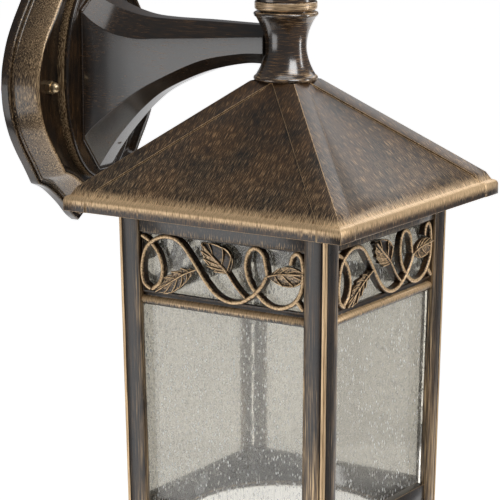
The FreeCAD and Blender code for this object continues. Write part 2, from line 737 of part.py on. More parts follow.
def build_hanger():
    foot = f"( {CAP_TOP} - 6 )"
    top = f"( {RING_TOP} + tube_rise )"
    corners = [("tube_bore", foot), ("tube_radius", foot), ("tube_radius", top), ("tube_bore", top)]
    body = turned("hanger_tube", corners)
    way = circle(new_sketch(body, "XZ_Plane"), "tube_bore - 0.4", "0", "arm_centre + eave_drop")
    pocket(body, way, "neck_flange")
    doc.recompute()
    keep(on_axis(body), "hanger_tube")

    nut = new_body("hanger_nut")
    seat = f"{ROOF_TOP} - roof_wall"
    sketch = new_sketch(nut, "XY_Plane", seat)
    hexagon(sketch, "nut_across")
    circle(sketch, "tube_radius + tube_fit")
    pad(nut, sketch, "nut_height", reverse=True)
    doc.recompute()
    keep(on_axis(nut), "hanger_nut")


def hexagon(sketch, across):
    """A hexagon about the sketch's origin from its width across flats."""
    corner = 1 / math.sqrt(3)
    ways = [(corner, 0), (corner / 2, 0.5), (-corner / 2, 0.5)]
    ways += [(-corner, 0), (-corner / 2, -0.5), (corner / 2, -0.5)]
    return polygon(sketch, [(f"{across} * {x:.6f}", f"{across} * {y:.6f}") for x, y in ways])


# ---------------------------------------------------------------- lampholder
def build_lampholder():
    skirt = "( holder_radius - cap_sheet )"
    cap_foot = f"( {CAP_TOP} - cap_height )"
    corners = [
        ("tube_radius + tube_fit", CAP_TOP),
        ("tube_radius + tube_fit", f"{CAP_TOP} - cap_sheet"),
        (skirt, f"{CAP_TOP} - cap_sheet"),
        (skirt, cap_foot),
        ("holder_radius", cap_foot),
        ("holder_radius", CAP_TOP),
    ]
    keep(on_axis(turned("lampholder_cap", corners)), "lampholder_cap")

    body_top = f"( {CAP_TOP} - cap_sheet - 5 )"
    foot = f"( {body_top} - holder_height )"
    web = f"( {body_top} - holder_web )"
    bore = "( shell_radius + shell_sheet )"
    stem = "( contact_stem + contact_fit )"
    corners = [
        (stem, body_top),
        (stem, web),
        (bore, web),
        (bore, foot),
        ("holder_radius", foot),
        ("holder_radius", cap_foot),
        (skirt, cap_foot),
        (skirt, body_top),
    ]
    keep(on_axis(turned("lampholder_body", corners)), "lampholder_body")

    shell_foot = f"( {foot} + shell_inset )"
    shell_top = f"( {shell_foot} + shell_length )"
    corners = [("shell_radius", shell_foot), (bore, shell_foot)]
    corners += [(bore, shell_top), ("shell_radius", shell_top)]
    keep(on_axis(turned("lampholder_shell", corners)), "lampholder_shell")

    disc_top = f"( {web} - contact_gap )"
    corners = [
        ("0", f"{disc_top} - contact_thick"),
        ("contact_radius", f"{disc_top} - contact_thick"),
        ("contact_radius", disc_top),
        ("contact_stem", disc_top),
        ("contact_stem", f"{web} + 5"),
        ("0", f"{web} + 5"),
    ]
    keep(on_axis(turned("lampholder_contact", corners)), "lampholder_contact")
    build_spring(disc_top, web)


def build_spring(foot, top):
    """The contact's coil spring as the sleeve that its wire winds round in."""
    inner = "( spring_radius - spring_wire )"
    outer = "( spring_radius + spring_wire )"
    spring = turned("contact_spring", [(inner, foot), (outer, foot), (outer, top), (inner, top)])
    keep(on_axis(spring), "contact_spring")


# ---------------------------------------------------------------- arm
# Sections of the arm from the neck to the plate: distance out from the lantern's
# axis, then levels above the eave of top, side facet's two edges and bottom, then
# half widths of the side facet and of the top and bottom flats.
ARM_SECTIONS = [
    (6.5, 103.2, 97.0, 87.4, 81.0, 9.8, 5.0, 4.5),
    (26.0, 103.3, 96.0, 86.0, 80.0, 10.4, 5.0, 4.5),
    (52.0, 103.7, 94.1, 80.6, 73.8, 11.6, 5.6, 4.8),
    (80.0, 103.7, 92.5, 68.3, 61.6, 13.6, 6.4, 5.2),
    (97.0, 104.8, 91.7, 58.8, 49.4, 15.6, 7.0, 5.6),
    (113.0, 108.6, 94.6, 47.0, 33.4, 18.2, 7.6, 6.0),
    (124.0, 112.9, 100.2, 37.8, 19.8, 20.4, 7.8, 6.2),
]


def arm_section(sketch, values):
    """An eight sided section of the arm, drawn in levels above the plate's centre."""
    out, top, side_top, side_foot, foot, side, crown, keel = values
    edges = [(keel, foot), (side, side_foot), (side, side_top), (crown, top)]
    right = [(f"{x}", f"{z} - eave_drop") for x, z in edges]
    left = [(f"0 - {x}", z) for x, z in reversed(right)]
    return polygon(sketch, right + left)


def build_arm():
    body = new_body("arm_casting")
    plate_front = "plate_depth + oval_raise"
    sketches = []
    for values in ARM_SECTIONS:
        level = f"projection - {values[0]}"
        sketches.append(arm_section(new_sketch(body, "XZ_Plane", level), values))
    last = (0, 117.0, 107.0, 28.8, 8.4, 22.0, 8.0, 6.4)
    sketches.append(arm_section(new_sketch(body, "XZ_Plane", plate_front), last))
    loft(body, sketches, ruled=False)
    doc.recompute()
    bore = circle(new_sketch(body, "XZ_Plane", plate_front), "arm_bore", "0", "arm_centre")
    pocket(body, bore, "projection", reverse=True)
    mouth = polygon(new_sketch(body, "XZ_Plane", plate_front), shifted(box_corners("10", "17"), "14"))
    throat_level = f"{plate_front} + 40"
    throat = polygon(new_sketch(body, "XZ_Plane", throat_level), shifted(box_corners("6", "8"), "24"))
    loft(body, [mouth, throat], cut=True)
    for level in ("arm_screw_upper", "0 - arm_screw_lower"):
        sketch = circle(new_sketch(body, "XZ_Plane", plate_front), "arm_screw_radius", "0", level)
        pocket(body, sketch, "arm_screw_reach", reverse=True)
    doc.recompute()
    arm = doc.addObject("Part::Cut", "arm")
    arm.Base = body
    arm.Tool = NODES["neck"]
    doc.recompute()
    keep(arm, "arm")


def shifted(corners, lift):
    """Corners moved up by a length."""
    return [(x, f"{y} + {lift}") for x, y in corners]


# ---------------------------------------------------------------- wall plate
# A quarter of the rim's outline: shares of the half width and half height.
BELLY = [(0.6, 0.678), (0.697, 0.564), (0.821, 0.428), (0.915, 0.297), (0.979, 0.143), (1.0, 0.0)]
COVE = [(0.6, 0.678), (0.43, 0.737), (0.235, 0.85), (0.1, 0.948), (0.0, 1.0)]


def escutcheon(sketch, inset, shrink):
    """The plate's outline, drawn in from its rim by an inset and a share of shrink."""
    wide = worth(f"plate_width / 2 - ( {inset} )")
    tall = worth(f"plate_height / 2 - ( {inset} ) * {shrink}")
    for up in (1, -1):
        for across in (1, -1):
            curve = Part.BSplineCurve()
            curve.interpolate([Vector(across * wide * x, up * tall * z, 0) for x, z in COVE])
            sketch.addGeometry(curve)
    right = [(x, z) for x, z in BELLY] + [(x, -z) for x, z in reversed(BELLY[:-1])]
    for across in (1, -1):
        curve = Part.BSplineCurve()
        curve.interpolate([Vector(across * wide * x, tall * z, 0) for x, z in right])
        sketch.addGeometry(curve)
    return sketch


def oval(sketch, inset):
    """The raised oval, smaller all round by an inset."""
    centre = Vector(0, worth("oval_lift"), 0)
    tall = worth(f"oval_height / 2 - ( {inset} )")
    wide = worth(f"oval_width / 2 - ( {inset} )")
    sketch.addGeometry(Part.Ellipse(centre + Vector(0, tall, 0), centre + Vector(-wide, 0, 0), centre))
    return sketch


def build_plate():
    body = new_body("wall_plate")
    rim = escutcheon(new_sketch(body, "XZ_Plane"), "0", 1)
    pad(body, rim, "plate_flange")
    back = escutcheon(new_sketch(body, "XZ_Plane", "plate_flange"), "2.2", 1.4)
    front = escutcheon(new_sketch(body, "XZ_Plane", "plate_depth"), "5.8", 2)
    loft(body, [back, front])
    floor = "plate_depth - plate_recess"
    recess = escutcheon(new_sketch(body, "XZ_Plane", "plate_depth"), "8.4", 2)
    pocket(body, recess, "plate_recess", reverse=False)
    foot = oval(new_sketch(body, "XZ_Plane", f"{floor} - 0.5"), "0 - 1.5")
    face = oval(new_sketch(body, "XZ_Plane", "plate_depth + oval_raise"), "0")
    loft(body, [foot, face])
    hollow = escutcheon(new_sketch(body, "XZ_Plane"), "8.4", 2)
    pocket(body, hollow, f"{floor} - plate_wall", reverse=True)
    for side in (-1, 1):
        hole = circle(new_sketch(body, "XZ_Plane"), "stud_hole", f"{side} * stud_spacing / 2", "0")
        pocket(body, hole, "plate_depth", reverse=True)
    for level, radius in (
        ("arm_centre", "arm_bore"),
        ("arm_screw_upper", "arm_screw_radius"),
        ("0 - arm_screw_lower", "arm_screw_radius"),
    ):
        hole = circle(new_sketch(body, "XZ_Plane"), radius, "0", level)
        pocket(body, hole, "plate_depth + oval_raise", reverse=True)
    doc.recompute()
    keep(body, "wall_plate")


# ---------------------------------------------------------------- mounting pieces
OUTWARD = FreeCAD.Rotation(Vector(1, 0, 0), 90)


def build_mounting():
    body = new_body("mounting_bracket")
    sketch = new_sketch(body, "XZ_Plane")
    polygon(sketch, box_corners("bracket_length / 2", "bracket_height / 2"))
    for side in (-1, 1):
        circle(sketch, "stud_radius", f"{side} * stud_spacing / 2", "0")
        slot(sketch, f"( {side} * slot_spacing / 2 )")
    circle(sketch, "entry_radius")
    circle(sketch, "earth_radius", "earth_across", "0")
    pad(body, sketch, "bracket_thick")
    doc.recompute()
    keep(body, "mounting_bracket")


def slot(sketch, centre):
    """A level slot: two straight sides with half round ends."""
    half = "( slot_length / 2 - slot_radius )"
    polygon(sketch, [
        (f"{centre} + {half}", "0 - slot_radius", f"{centre} + {half} + slot_radius", "0"),
        (f"{centre} + {half}", "slot_radius"),
        (f"{centre} - {half}", "slot_radius", f"{centre} - {half} - slot_radius", "0"),
        (f"{centre} - {half}", "0 - slot_radius"),
    ])


def outward_group(label, pieces):
    """Pieces turned about Z gathered in one node, their Z pointing out of the wall."""
    group = doc.addObject("Part::Compound", label)
    group.Links = pieces
    doc.recompute()
    return keep(group, label)


def build_studs():
    reach = "plate_depth - plate_recess + cap_nut_hex + cap_nut_dome - cap_nut_crown - 0.4"
    studs = []
    for side in (-1, 1):
        corners = [("0", "0"), ("stud_radius", "0"), ("stud_radius", reach), ("0", reach)]
        stud = turned(f"stud_{side}".replace("-", "minus_"), corners)
        studs.append(place(stud, f"{side} * stud_spacing / 2", turn=OUTWARD))
    outward_group("mounting_studs", studs)


def build_cap_nuts():
    """Acorn nuts: a hexagon, a dome and a blind bore for the stud."""
    body = new_body("cap_nut_left")
    pad(body, hexagon(new_sketch(body, "XY_Plane"), "cap_nut_across"), "cap_nut_hex")
    neck = "( cap_nut_across / 2 - 0.35 )"
    sunk = "cap_nut_hex - 0.6"
    top = "( cap_nut_hex + cap_nut_dome )"
    shoulder = "( cap_nut_hex + 1.2 )"
    bow = (f"{neck} * 0.74", f"{shoulder} + ( {top} - {shoulder} ) * 0.7")
    tip = "cap_nut_tip"
    corners = [("0", sunk), (neck, sunk), (neck, shoulder, *bow), (tip, top), ("0", top)]
    dome = polygon(new_sketch(body, "XZ_Plane"), corners)
    feature = body.newObject("PartDesign::Revolution", "cap_nut_turn")
    feature.Profile = dome
    feature.ReferenceAxis = (dome, ["V_Axis"])
    feature.Angle = 360
    bore = circle(new_sketch(body, "XY_Plane"), "stud_radius + stud_fit")
    pocket(body, bore, f"{top} - cap_nut_crown", reverse=True)
    seat = "plate_recess - plate_depth"
    keep(place(body, "0 - stud_spacing / 2", seat, "0", OUTWARD), "cap_nut_left")
    twin = copy_of(body, "cap_nut_right")
    keep(place(twin, "stud_spacing / 2", seat, "0", OUTWARD), "cap_nut_right")


def build_arm_screws():
    """Pan head screws from inside the plate into the arm's foot."""
    floor = "plate_depth - plate_recess - plate_wall"
    reach = f"plate_recess + plate_wall + oval_raise + arm_screw_reach"
    screws = []
    for index, level in enumerate(("arm_screw_upper", "0 - arm_screw_lower")):
        corners = [("0", "0 - 3"), ("arm_screw_radius * 1.8", "0 - 3"), ("arm_screw_radius * 1.8", "0")]
        corners += [("arm_screw_radius", "0"), ("arm_screw_radius", reach), ("0", reach)]
        screw = turned(f"arm_screw_{index}", corners)
        screws.append(place(screw, "0", f"0 - ( {floor} )", level, OUTWARD))
    outward_group("arm_screws", screws)


def build_earth_screw():
    corners = [("0", "0"), ("earth_radius", "0"), ("earth_radius", "bracket_thick")]
    corners += [("earth_radius * 2", "bracket_thick"), ("earth_radius * 2", "bracket_thick + 2.4")]
    corners += [("0", "bracket_thick + 2.4")]
    screw = turned("earth_screw", corners)
    doc.recompute()
    keep(place(screw, "earth_across", "0", "0", OUTWARD), "earth_screw")


# ---------------------------------------------------------------- build and write
def check_document():
    """Stop if any object failed or any sub-part has no sound shape."""
    doc.recompute()
    for thing in doc.Objects:
        if "Invalid" in thing.State or "Error" in thing.State:
            sys.exit(f"{thing.Label} failed: {thing.State}")
    for label, thing in NODES.items():
        if thing.Shape.isNull() or not thing.Shape.isValid():
            sys.exit(f"{label} has no sound shape")


def build_all():
    build_posts()
    build_rails()
    build_panes()
    build_clips()
    build_vines()
    build_roof()
    build_base()
    build_screws()
    build_neck()
    build_finial()
    build_hanger()
    build_lampholder()
    build_arm()
    build_plate()
    build_mounting()
    build_studs()
    build_cap_nuts()
    build_arm_screws()
    build_earth_screw()


build_all()
check_document()
os.makedirs("parts", exist_ok=True)
for label, thing in NODES.items():
    print(f"{label}: {thing.Shape.Volume:.0f} mm3 in {len(thing.Shape.Solids)} solid(s)")
    thing.Shape.exportStep(f"parts/{label}.step")
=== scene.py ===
# %% [markdown]
# # Outdoor wall lantern
# A square cage of seeded glass hangs from a trumpet shaped arm on an escutcheon
# plate. The fixed frame is loaded first: it holds every piece at its real size,
# and everything below is modelled in the same place, in metres.

# %% Load the frame
import math

import bmesh
import bpy
from mathutils import Matrix, Vector


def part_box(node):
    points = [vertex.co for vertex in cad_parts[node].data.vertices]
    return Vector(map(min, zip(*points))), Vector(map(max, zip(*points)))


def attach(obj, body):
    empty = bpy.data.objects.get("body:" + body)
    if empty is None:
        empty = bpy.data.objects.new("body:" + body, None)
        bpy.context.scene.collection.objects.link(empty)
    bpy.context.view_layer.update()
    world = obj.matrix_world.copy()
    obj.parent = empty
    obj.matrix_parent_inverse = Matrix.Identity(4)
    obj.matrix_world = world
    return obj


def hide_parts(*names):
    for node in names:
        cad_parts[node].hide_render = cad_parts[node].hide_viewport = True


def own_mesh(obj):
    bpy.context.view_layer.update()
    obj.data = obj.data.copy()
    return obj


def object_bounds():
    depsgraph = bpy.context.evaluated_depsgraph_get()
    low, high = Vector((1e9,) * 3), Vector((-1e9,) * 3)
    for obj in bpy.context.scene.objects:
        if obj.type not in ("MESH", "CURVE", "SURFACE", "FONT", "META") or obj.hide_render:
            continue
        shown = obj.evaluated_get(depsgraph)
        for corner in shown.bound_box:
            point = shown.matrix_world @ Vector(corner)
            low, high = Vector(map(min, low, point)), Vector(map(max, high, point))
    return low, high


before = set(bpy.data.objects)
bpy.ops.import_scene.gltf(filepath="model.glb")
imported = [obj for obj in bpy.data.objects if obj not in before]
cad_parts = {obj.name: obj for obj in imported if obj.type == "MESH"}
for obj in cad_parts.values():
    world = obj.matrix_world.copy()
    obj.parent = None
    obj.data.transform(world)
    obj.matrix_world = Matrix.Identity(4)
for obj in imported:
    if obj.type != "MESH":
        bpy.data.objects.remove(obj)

cad_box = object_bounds()
MM = 0.001
BODY = "lantern"
print("frame box", cad_box)

# %% [markdown]
# The lantern's own axis stands in front of the wall. Its place and the main levels
# are read from the frame's boxes, so nothing has to be fitted afterwards. Heights
# on the lantern are counted from the underside of the eave, as its maker would.

# %% Axis and levels
def span(node):
    """The lowest and the highest corner of a frame piece."""
    return [Vector(corner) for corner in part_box(node)]


roof_low, roof_high = span("roof")
plate_low, plate_high = span("wall_plate")
AXIS = Vector(((roof_low.x + roof_high.x) / 2, (roof_low.y + roof_high.y) / 2, roof_low.z))
ROOF_HALF = (roof_high.x - roof_low.x) / 2
ROOF_TOP = roof_high.z - AXIS.z
CAGE_HEIGHT = AXIS.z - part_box("corner_post_front_left")[0][2]
CAGE_HALF = AXIS.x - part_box("corner_post_front_left")[0][0]
CAGE_LEAN = 2.8 * MM
POST_LEG = 13.8 * MM
POST_WALL = 3.5 * MM
for title, size in (("roof half", ROOF_HALF), ("cage half", CAGE_HALF), ("cage height", CAGE_HEIGHT)):
    print(title, round(size, 4))


def cage_half(drop):
    """Half the cage's width at a distance below the eave: the sides lean in."""
    return CAGE_HALF - CAGE_LEAN * drop / CAGE_HEIGHT


# %% [markdown]
# ## Working by hand, in code
# Each operator acts on whatever is selected, so a piece is started with nothing
# selected and edited alone. Two ways of building cover most castings. A *turned*
# piece is a thread of points spun round an axis, as on a lathe. A *grown* piece is
# a ring of points that is extruded ring after ring, as a loft is drawn.

# %% Selecting and editing
def only(piece):
    """Make one object the only selected and active one."""
    bpy.ops.object.select_all(action="DESELECT")
    piece.select_set(True)
    bpy.context.view_layer.objects.active = piece
    return piece


def edit(piece, select=True):
    only(piece)
    bpy.ops.object.mode_set(mode="EDIT")
    bpy.ops.mesh.select_all(action="SELECT" if select else "DESELECT")
    return bmesh.from_edit_mesh(piece.data)


def leave_edit():
    bpy.ops.object.mode_set(mode="OBJECT")


def heal(piece, gap=0.01 * MM):
    """Merge doubled points and turn the faces outwards."""
    edit(piece)
    bpy.ops.mesh.remove_doubles(threshold=gap)
    bpy.ops.mesh.normals_make_consistent(inside=False)
    leave_edit()
    return piece


def join(pieces, name):
    only(pieces[0])
    for piece in pieces:
        piece.select_set(True)
    bpy.ops.object.join()
    pieces[0].name = name
    return pieces[0]


def apply_modifier(piece, kind, **settings):
    only(piece)
    modifier = piece.modifiers.new(kind.lower(), kind)
    for key, setting in settings.items():
        setattr(modifier, key, setting)
    bpy.ops.object.modifier_apply(modifier=modifier.name)
    return piece


# %% Turned pieces
def thread(points):
    """A line of points drawn by extruding one point again and again."""
    bpy.ops.object.select_all(action="DESELECT")
    bpy.ops.mesh.primitive_plane_add(size=MM, location=points[0])
    line = bpy.context.object
    bpy.ops.object.transform_apply(location=True, rotation=True, scale=True)
    edit(line)
    bpy.ops.mesh.merge(type="CENTER")
    for start, stop in zip(points, points[1:]):
        move = {"value": Vector(stop) - Vector(start)}
        bpy.ops.mesh.extrude_region_move(TRANSFORM_OT_translate=move)
    leave_edit()
    return line


UPWARD = Vector((0, 0, 1))
SPIN_STEPS = 96


def turned(name, profile):
    """Spin a profile of (radius, height) about the lantern's axis."""
    across = UPWARD.orthogonal().normalized()
    points = [AXIS + across * radius + UPWARD * height for radius, height in profile]
    piece = thread(points)
    edit(piece)
    bpy.ops.mesh.spin(steps=SPIN_STEPS, angle=2 * math.pi, center=AXIS, axis=UPWARD)
    leave_edit()
    piece.name = name
    return heal(piece)


# %% Grown pieces
def pick(mesh, wanted):
    """Select exactly the wanted vertices, and the edges and faces between them."""
    mesh.verts.index_update()
    for face in mesh.faces:
        face.select_set(False)
    for edge in mesh.edges:
        edge.select_set(False)
    for vert in mesh.verts:
        vert.select_set(vert.index in wanted)
    mesh.select_flush(True)


def grown(name, rings, caps=True):
    """Extrude a closed ring of points through a list of rings of the same length."""
    bpy.ops.object.select_all(action="DESELECT")
    bpy.ops.mesh.primitive_circle_add(vertices=len(rings[0]), radius=MM)
    piece = bpy.context.object
    piece.name = name
    bpy.ops.object.transform_apply(location=True, rotation=True, scale=True)
    mesh = edit(piece)
    mesh.verts.ensure_lookup_table()
    order = list(range(len(rings[0])))
    first = list(order)
    for index, point in zip(order, rings[0]):
        mesh.verts[index].co = point
    for ring in rings[1:]:
        bpy.ops.mesh.extrude_edges_move()
        mesh = bmesh.from_edit_mesh(piece.data)
        mesh.verts.index_update()
        mesh.verts.ensure_lookup_table()
        place = {old: number for number, old in enumerate(order)}
        fresh = [0] * len(ring)
        for old, number in place.items():
            for rung in mesh.verts[old].link_edges:
                other = rung.other_vert(mesh.verts[old])
                if other.select:
                    fresh[number] = other.index
        order = fresh
        for index, point in zip(order, ring):
            mesh.verts[index].co = point
    if caps:
        for loop in (first, order):
            pick(mesh, set(loop))
            bmesh.update_edit_mesh(piece.data)
            bpy.ops.mesh.edge_face_add()
            mesh = bmesh.from_edit_mesh(piece.data)
            mesh.verts.ensure_lookup_table()
    bmesh.update_edit_mesh(piece.data)
    leave_edit()
    return heal(piece, 0.001 * MM)


# %% [markdown]
# ## Where gold is rubbed through
# The maker sprays the casting black bronze and rubs gold on whatever stands proud.
# So every face carries a number at each corner, from 0, plain enamel, to 1, gold. On the mid rail's
# bead, the neck, the finial and one leaf, the number also holds painted light and shade.
# A Bevel modifier rounds the hard edges first, and the narrow faces that it makes
# are gilded, exactly where a rag would catch.

# %% Edge rounding and gilding
def soften_edges(piece, width, angle=30, segments=2):
    """Round the sharp edges and remember which faces the rounding made."""
    marks = [bpy.data.materials.get(tag) or bpy.data.materials.new(tag) for tag in ("plain", "edge")]
    piece.data.materials.clear()
    for mark in marks:
        piece.data.materials.append(mark)
    for face in piece.data.polygons:
        face.material_index = 0
    apply_modifier(
        piece, "BEVEL", width=width, segments=segments, limit_method="ANGLE",
        angle_limit=math.radians(angle), material=1, use_clamp_overlap=True,
    )
    return piece


def gild(piece, rule=None, edge=1.0):
    """Store each face corner's share of gold: edge on rounded faces, or rule's where more."""
    mesh = piece.data
    values = [0.0] * len(mesh.loops)
    for face in mesh.polygons:
        base = edge if face.material_index == 1 else 0.0
        for corner in face.loop_indices:
            spot = mesh.vertices[mesh.loops[corner].vertex_index].co
            values[corner] = base if rule is None else max(base, rule(spot, face.normal))
        face.material_index = 0
    layer = mesh.attributes.new("gold", "FLOAT", "CORNER")
    layer.data.foreach_set("value", values)
    return piece


# These move the marks on some faces, so that neighbouring sides don't repeat.
SIDE_SHIFT = 0.37
LEVEL_SHIFT = 0.6


def lay_grain(piece):
    """Lay a UV map whose first number runs across a side and second one down it."""
    mesh = piece.data
    layer = mesh.uv_layers.get("grain") or mesh.uv_layers.new(name="grain")
    for face in mesh.polygons:
        sideways = abs(face.normal.x) > abs(face.normal.y)
        for corner in face.loop_indices:
            point = mesh.vertices[mesh.loops[corner].vertex_index].co - AXIS
            across = point.y + SIDE_SHIFT if sideways else point.x
            down = point.z + (LEVEL_SHIFT if abs(face.normal.z) > 0.95 else 0.0)
            layer.data[corner].uv = (across, down)
    return piece


def smooth(piece, angle=30):
    only(piece)
    bpy.ops.object.shade_smooth_by_angle(angle=math.radians(angle))
    return piece


def complete(piece, material, node, body=BODY):
    """Give a piece its finish, hang it on its body and let it stand for its node."""
    piece.data.materials.clear()
    piece.data.materials.append(material)
    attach(piece, body)
    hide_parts(node)
    print(piece.name, len(piece.data.polygons), "faces")
    return piece


def dress(piece, rule=None, edge=1.0, angle=30):
    """Gild a finished mesh, lay its grain and smooth it."""
    gild(piece, rule, edge)
    lay_grain(piece)
    return smooth(piece, angle)


def set_round(piece, name, nodes, material):
    """Copy a piece a quarter turn at a time about the axis, and complete all four."""
    copies = [piece]
    for turn, letter in enumerate("bcd", start=1):
        only(piece)
        bpy.ops.object.duplicate(linked=False)
        twin = bpy.context.object
        spin = Matrix.Rotation(turn * math.pi / 2, 4, "Z")
        twin.data.transform(Matrix.Translation(AXIS) @ spin @ Matrix.Translation(-AXIS))
        twin.name = f"{name}_{letter}"
        copies.append(twin)
    for copy, node in zip(copies, nodes):
        complete(copy, material, node)


SIDES = ("front", "right", "back", "left")
CORNERS = ("front_left", "front_right", "back_right", "back_left")

# %% [markdown]
# ## Finishes
# The enamel is one recipe with a few settings. Noise that is squeezed across and
# drawn out along the grain makes brush streaks. A cloudy noise lets brown show
# through the black, and the streaks carry a dust of bronze. The gold comes last,
# where the gilding says, with a ragged border because the streaks cut into it.

# %% A small kit for shader nodes
class Nodes:
    """Adds nodes to a material and joins them, so a recipe reads top to bottom."""

    def __init__(self, name):
        self.material = bpy.data.materials.new(name)
        self.material.use_nodes = True
        self.tree = self.material.node_tree
        self.shader = self.tree.nodes["Principled BSDF"]

    def add(self, kind, **settings):
        node = self.tree.nodes.new(kind)
        for key, setting in settings.items():
            setattr(node, key, setting)
        return node

    def feed(self, socket, source):
        if isinstance(source, bpy.types.NodeSocket):
            self.tree.links.new(source, socket)
        else:
            socket.default_value = source

    def give(self, name, source):
        self.feed(self.shader.inputs[name], source)

    def maths(self, operation, first, second, clamp=False):
        node = self.add("ShaderNodeMath", operation=operation, use_clamp=clamp)
        self.feed(node.inputs[0], first)
        self.feed(node.inputs[1], second)
        return node.outputs[0]

    def plus(self, first, second):
        return self.maths("ADD", first, second)

    def times(self, first, second, clamp=False):
        return self.maths("MULTIPLY", first, second, clamp)

    def step(self, value, low, high):
        """0 below low, 1 above high, and a smooth ramp between."""
        node = self.add("ShaderNodeMapRange", interpolation_type="SMOOTHSTEP")
        self.feed(node.inputs["Value"], value)
        self.feed(node.inputs["From Min"], low)
        self.feed(node.inputs["From Max"], high)
        return node.outputs[0]

    def blend(self, share, first, second):
        node = self.add("ShaderNodeMix", data_type="RGBA")
        self.feed(node.inputs["Factor"], share)
        self.feed(node.inputs[6], first)
        self.feed(node.inputs[7], second)
        return node.outputs[2]

    def blend_number(self, share, first, second):
        node = self.add("ShaderNodeMix", data_type="FLOAT")
        self.feed(node.inputs["Factor"], share)
        self.feed(node.inputs[2], first)
        self.feed(node.inputs[3], second)
        return node.outputs[0]

    def place(self, stretch, grain=False):
        """Coordinates on the object, or along the grain, stretched as asked."""
        if grain:
            source = self.add("ShaderNodeUVMap", uv_map="grain").outputs[0]
        else:
            source = self.add("ShaderNodeTexCoord").outputs["Object"]
        mapping = self.add("ShaderNodeMapping")
        self.feed(mapping.inputs["Vector"], source)
        mapping.inputs["Scale"].default_value = stretch
        return mapping.outputs[0]

    def noise(self, where, scale=1.0, detail=4.0, rough=0.55):
        node = self.add("ShaderNodeTexNoise")
        self.feed(node.inputs["Vector"], where)
        node.inputs["Scale"].default_value = scale
        node.inputs["Detail"].default_value = detail
        node.inputs["Roughness"].default_value = rough
        return node.outputs["Fac"]

    def bump(self, height, strength, distance):
        node = self.add("ShaderNodeBump")
        node.inputs["Strength"].default_value = strength
        node.inputs["Distance"].default_value = distance
        self.feed(node.inputs["Height"], height)
        self.give("Normal", node.outputs[0])


BLACK_BRONZE = (0.006, 0.0055, 0.005, 1)
UMBER = (0.04, 0.021, 0.0095, 1)
BRONZE = (0.27, 0.137, 0.052, 1)
GOLD = (0.46, 0.24, 0.09, 1)
PALE_GOLD = (0.92, 0.66, 0.38, 1)
BRUSH_DEPTH = 0.035 * MM


# %% Hand rubbed enamel
def enamel(name, brown, dust, stretch, shine, grain=True, index=1.5):
    """Black bronze enamel, clouded with umber, dusted with bronze and rubbed with gold.

    brown is how much umber clouds the black, dust is how much of the open surface
    the dry brush has touched, and index is how strongly the bare enamel mirrors.
    """
    kit = Nodes(name)
    cloud = kit.noise(kit.place((38, 38, 38)), detail=5, rough=0.62)
    fine = kit.noise(kit.place((1300, 1300, 1300)), detail=2)
    streak = kit.noise(kit.place(stretch, grain), detail=5, rough=0.6)
    gold_mark = kit.add("ShaderNodeAttribute", attribute_name="gold").outputs["Fac"]

    browned = kit.times(kit.step(cloud, 0.28, 0.68), brown, clamp=True)
    ground = kit.blend(browned, BLACK_BRONZE, UMBER)
    brushed = kit.times(kit.step(streak, 0.46, 0.72), dust)
    brushed = kit.times(brushed, kit.plus(kit.step(cloud, 0.3, 0.7), 0.35), clamp=True)
    ground = kit.blend(brushed, ground, BRONZE)
    worn = kit.plus(gold_mark, kit.times(kit.maths("SUBTRACT", streak, 0.5), 1.5))
    edge = kit.times(kit.step(worn, 0.32, 0.95), kit.step(gold_mark, 0.02, 0.3))
    polished = kit.step(kit.plus(streak, kit.times(gold_mark, 0.18)), 0.42, 0.76)
    leaf = kit.blend(polished, GOLD, PALE_GOLD)

    kit.give("Base Color", kit.blend(edge, ground, leaf))
    sheen = kit.maths("MAXIMUM", edge, kit.times(brushed, 0.6))
    kit.give("Metallic", kit.times(sheen, 0.6))
    kit.give("Roughness", kit.plus(kit.blend_number(sheen, shine, 0.36), kit.times(fine, 0.1)))
    kit.give("Coat Weight", 0.3)
    kit.give("Coat Roughness", 0.12)
    kit.give("IOR", index)
    kit.bump(kit.plus(kit.times(streak, 0.65), kit.times(fine, 0.35)), 0.2, BRUSH_DEPTH)
    return kit.material


# The stretch says how fine the brush marks are, along each direction of the piece.
upright = {"stretch": (3200, 3200, 90), "grain": False}
lengthwise = {"stretch": (1500, 70, 1500), "grain": False}
speckled = {"stretch": (900, 900, 900), "grain": False}
round_about = {"stretch": (130, 130, 2200), "grain": False}
plate_enamel = enamel("plate_enamel", brown=0.5, dust=0.3, shine=0.13, **upright)
arm_enamel = enamel("arm_enamel", brown=0.5, dust=0.3, shine=0.12, index=1.75, **lengthwise)
roof_enamel = enamel("roof_enamel", brown=1.0, dust=0.95, stretch=(2600, 260, 1), shine=0.32)
post_enamel = enamel("post_enamel", brown=0.6, dust=0.3, stretch=(1400, 30, 1), shine=0.24)
rail_enamel = enamel("rail_enamel", brown=0.3, dust=0.35, stretch=(1700, 250, 1), shine=0.24, index=1.6)
vine_enamel = enamel("vine_enamel", brown=0.9, dust=0.6, shine=0.28, **speckled)
neck_enamel = enamel("neck_enamel", brown=1.0, dust=0.8, shine=0.14, index=2.0, **round_about)
print("finishes", [item.name for item in bpy.data.materials if "enamel" in item.name])


# %% Seeded glass
SEEDS_PER_METRE = 520


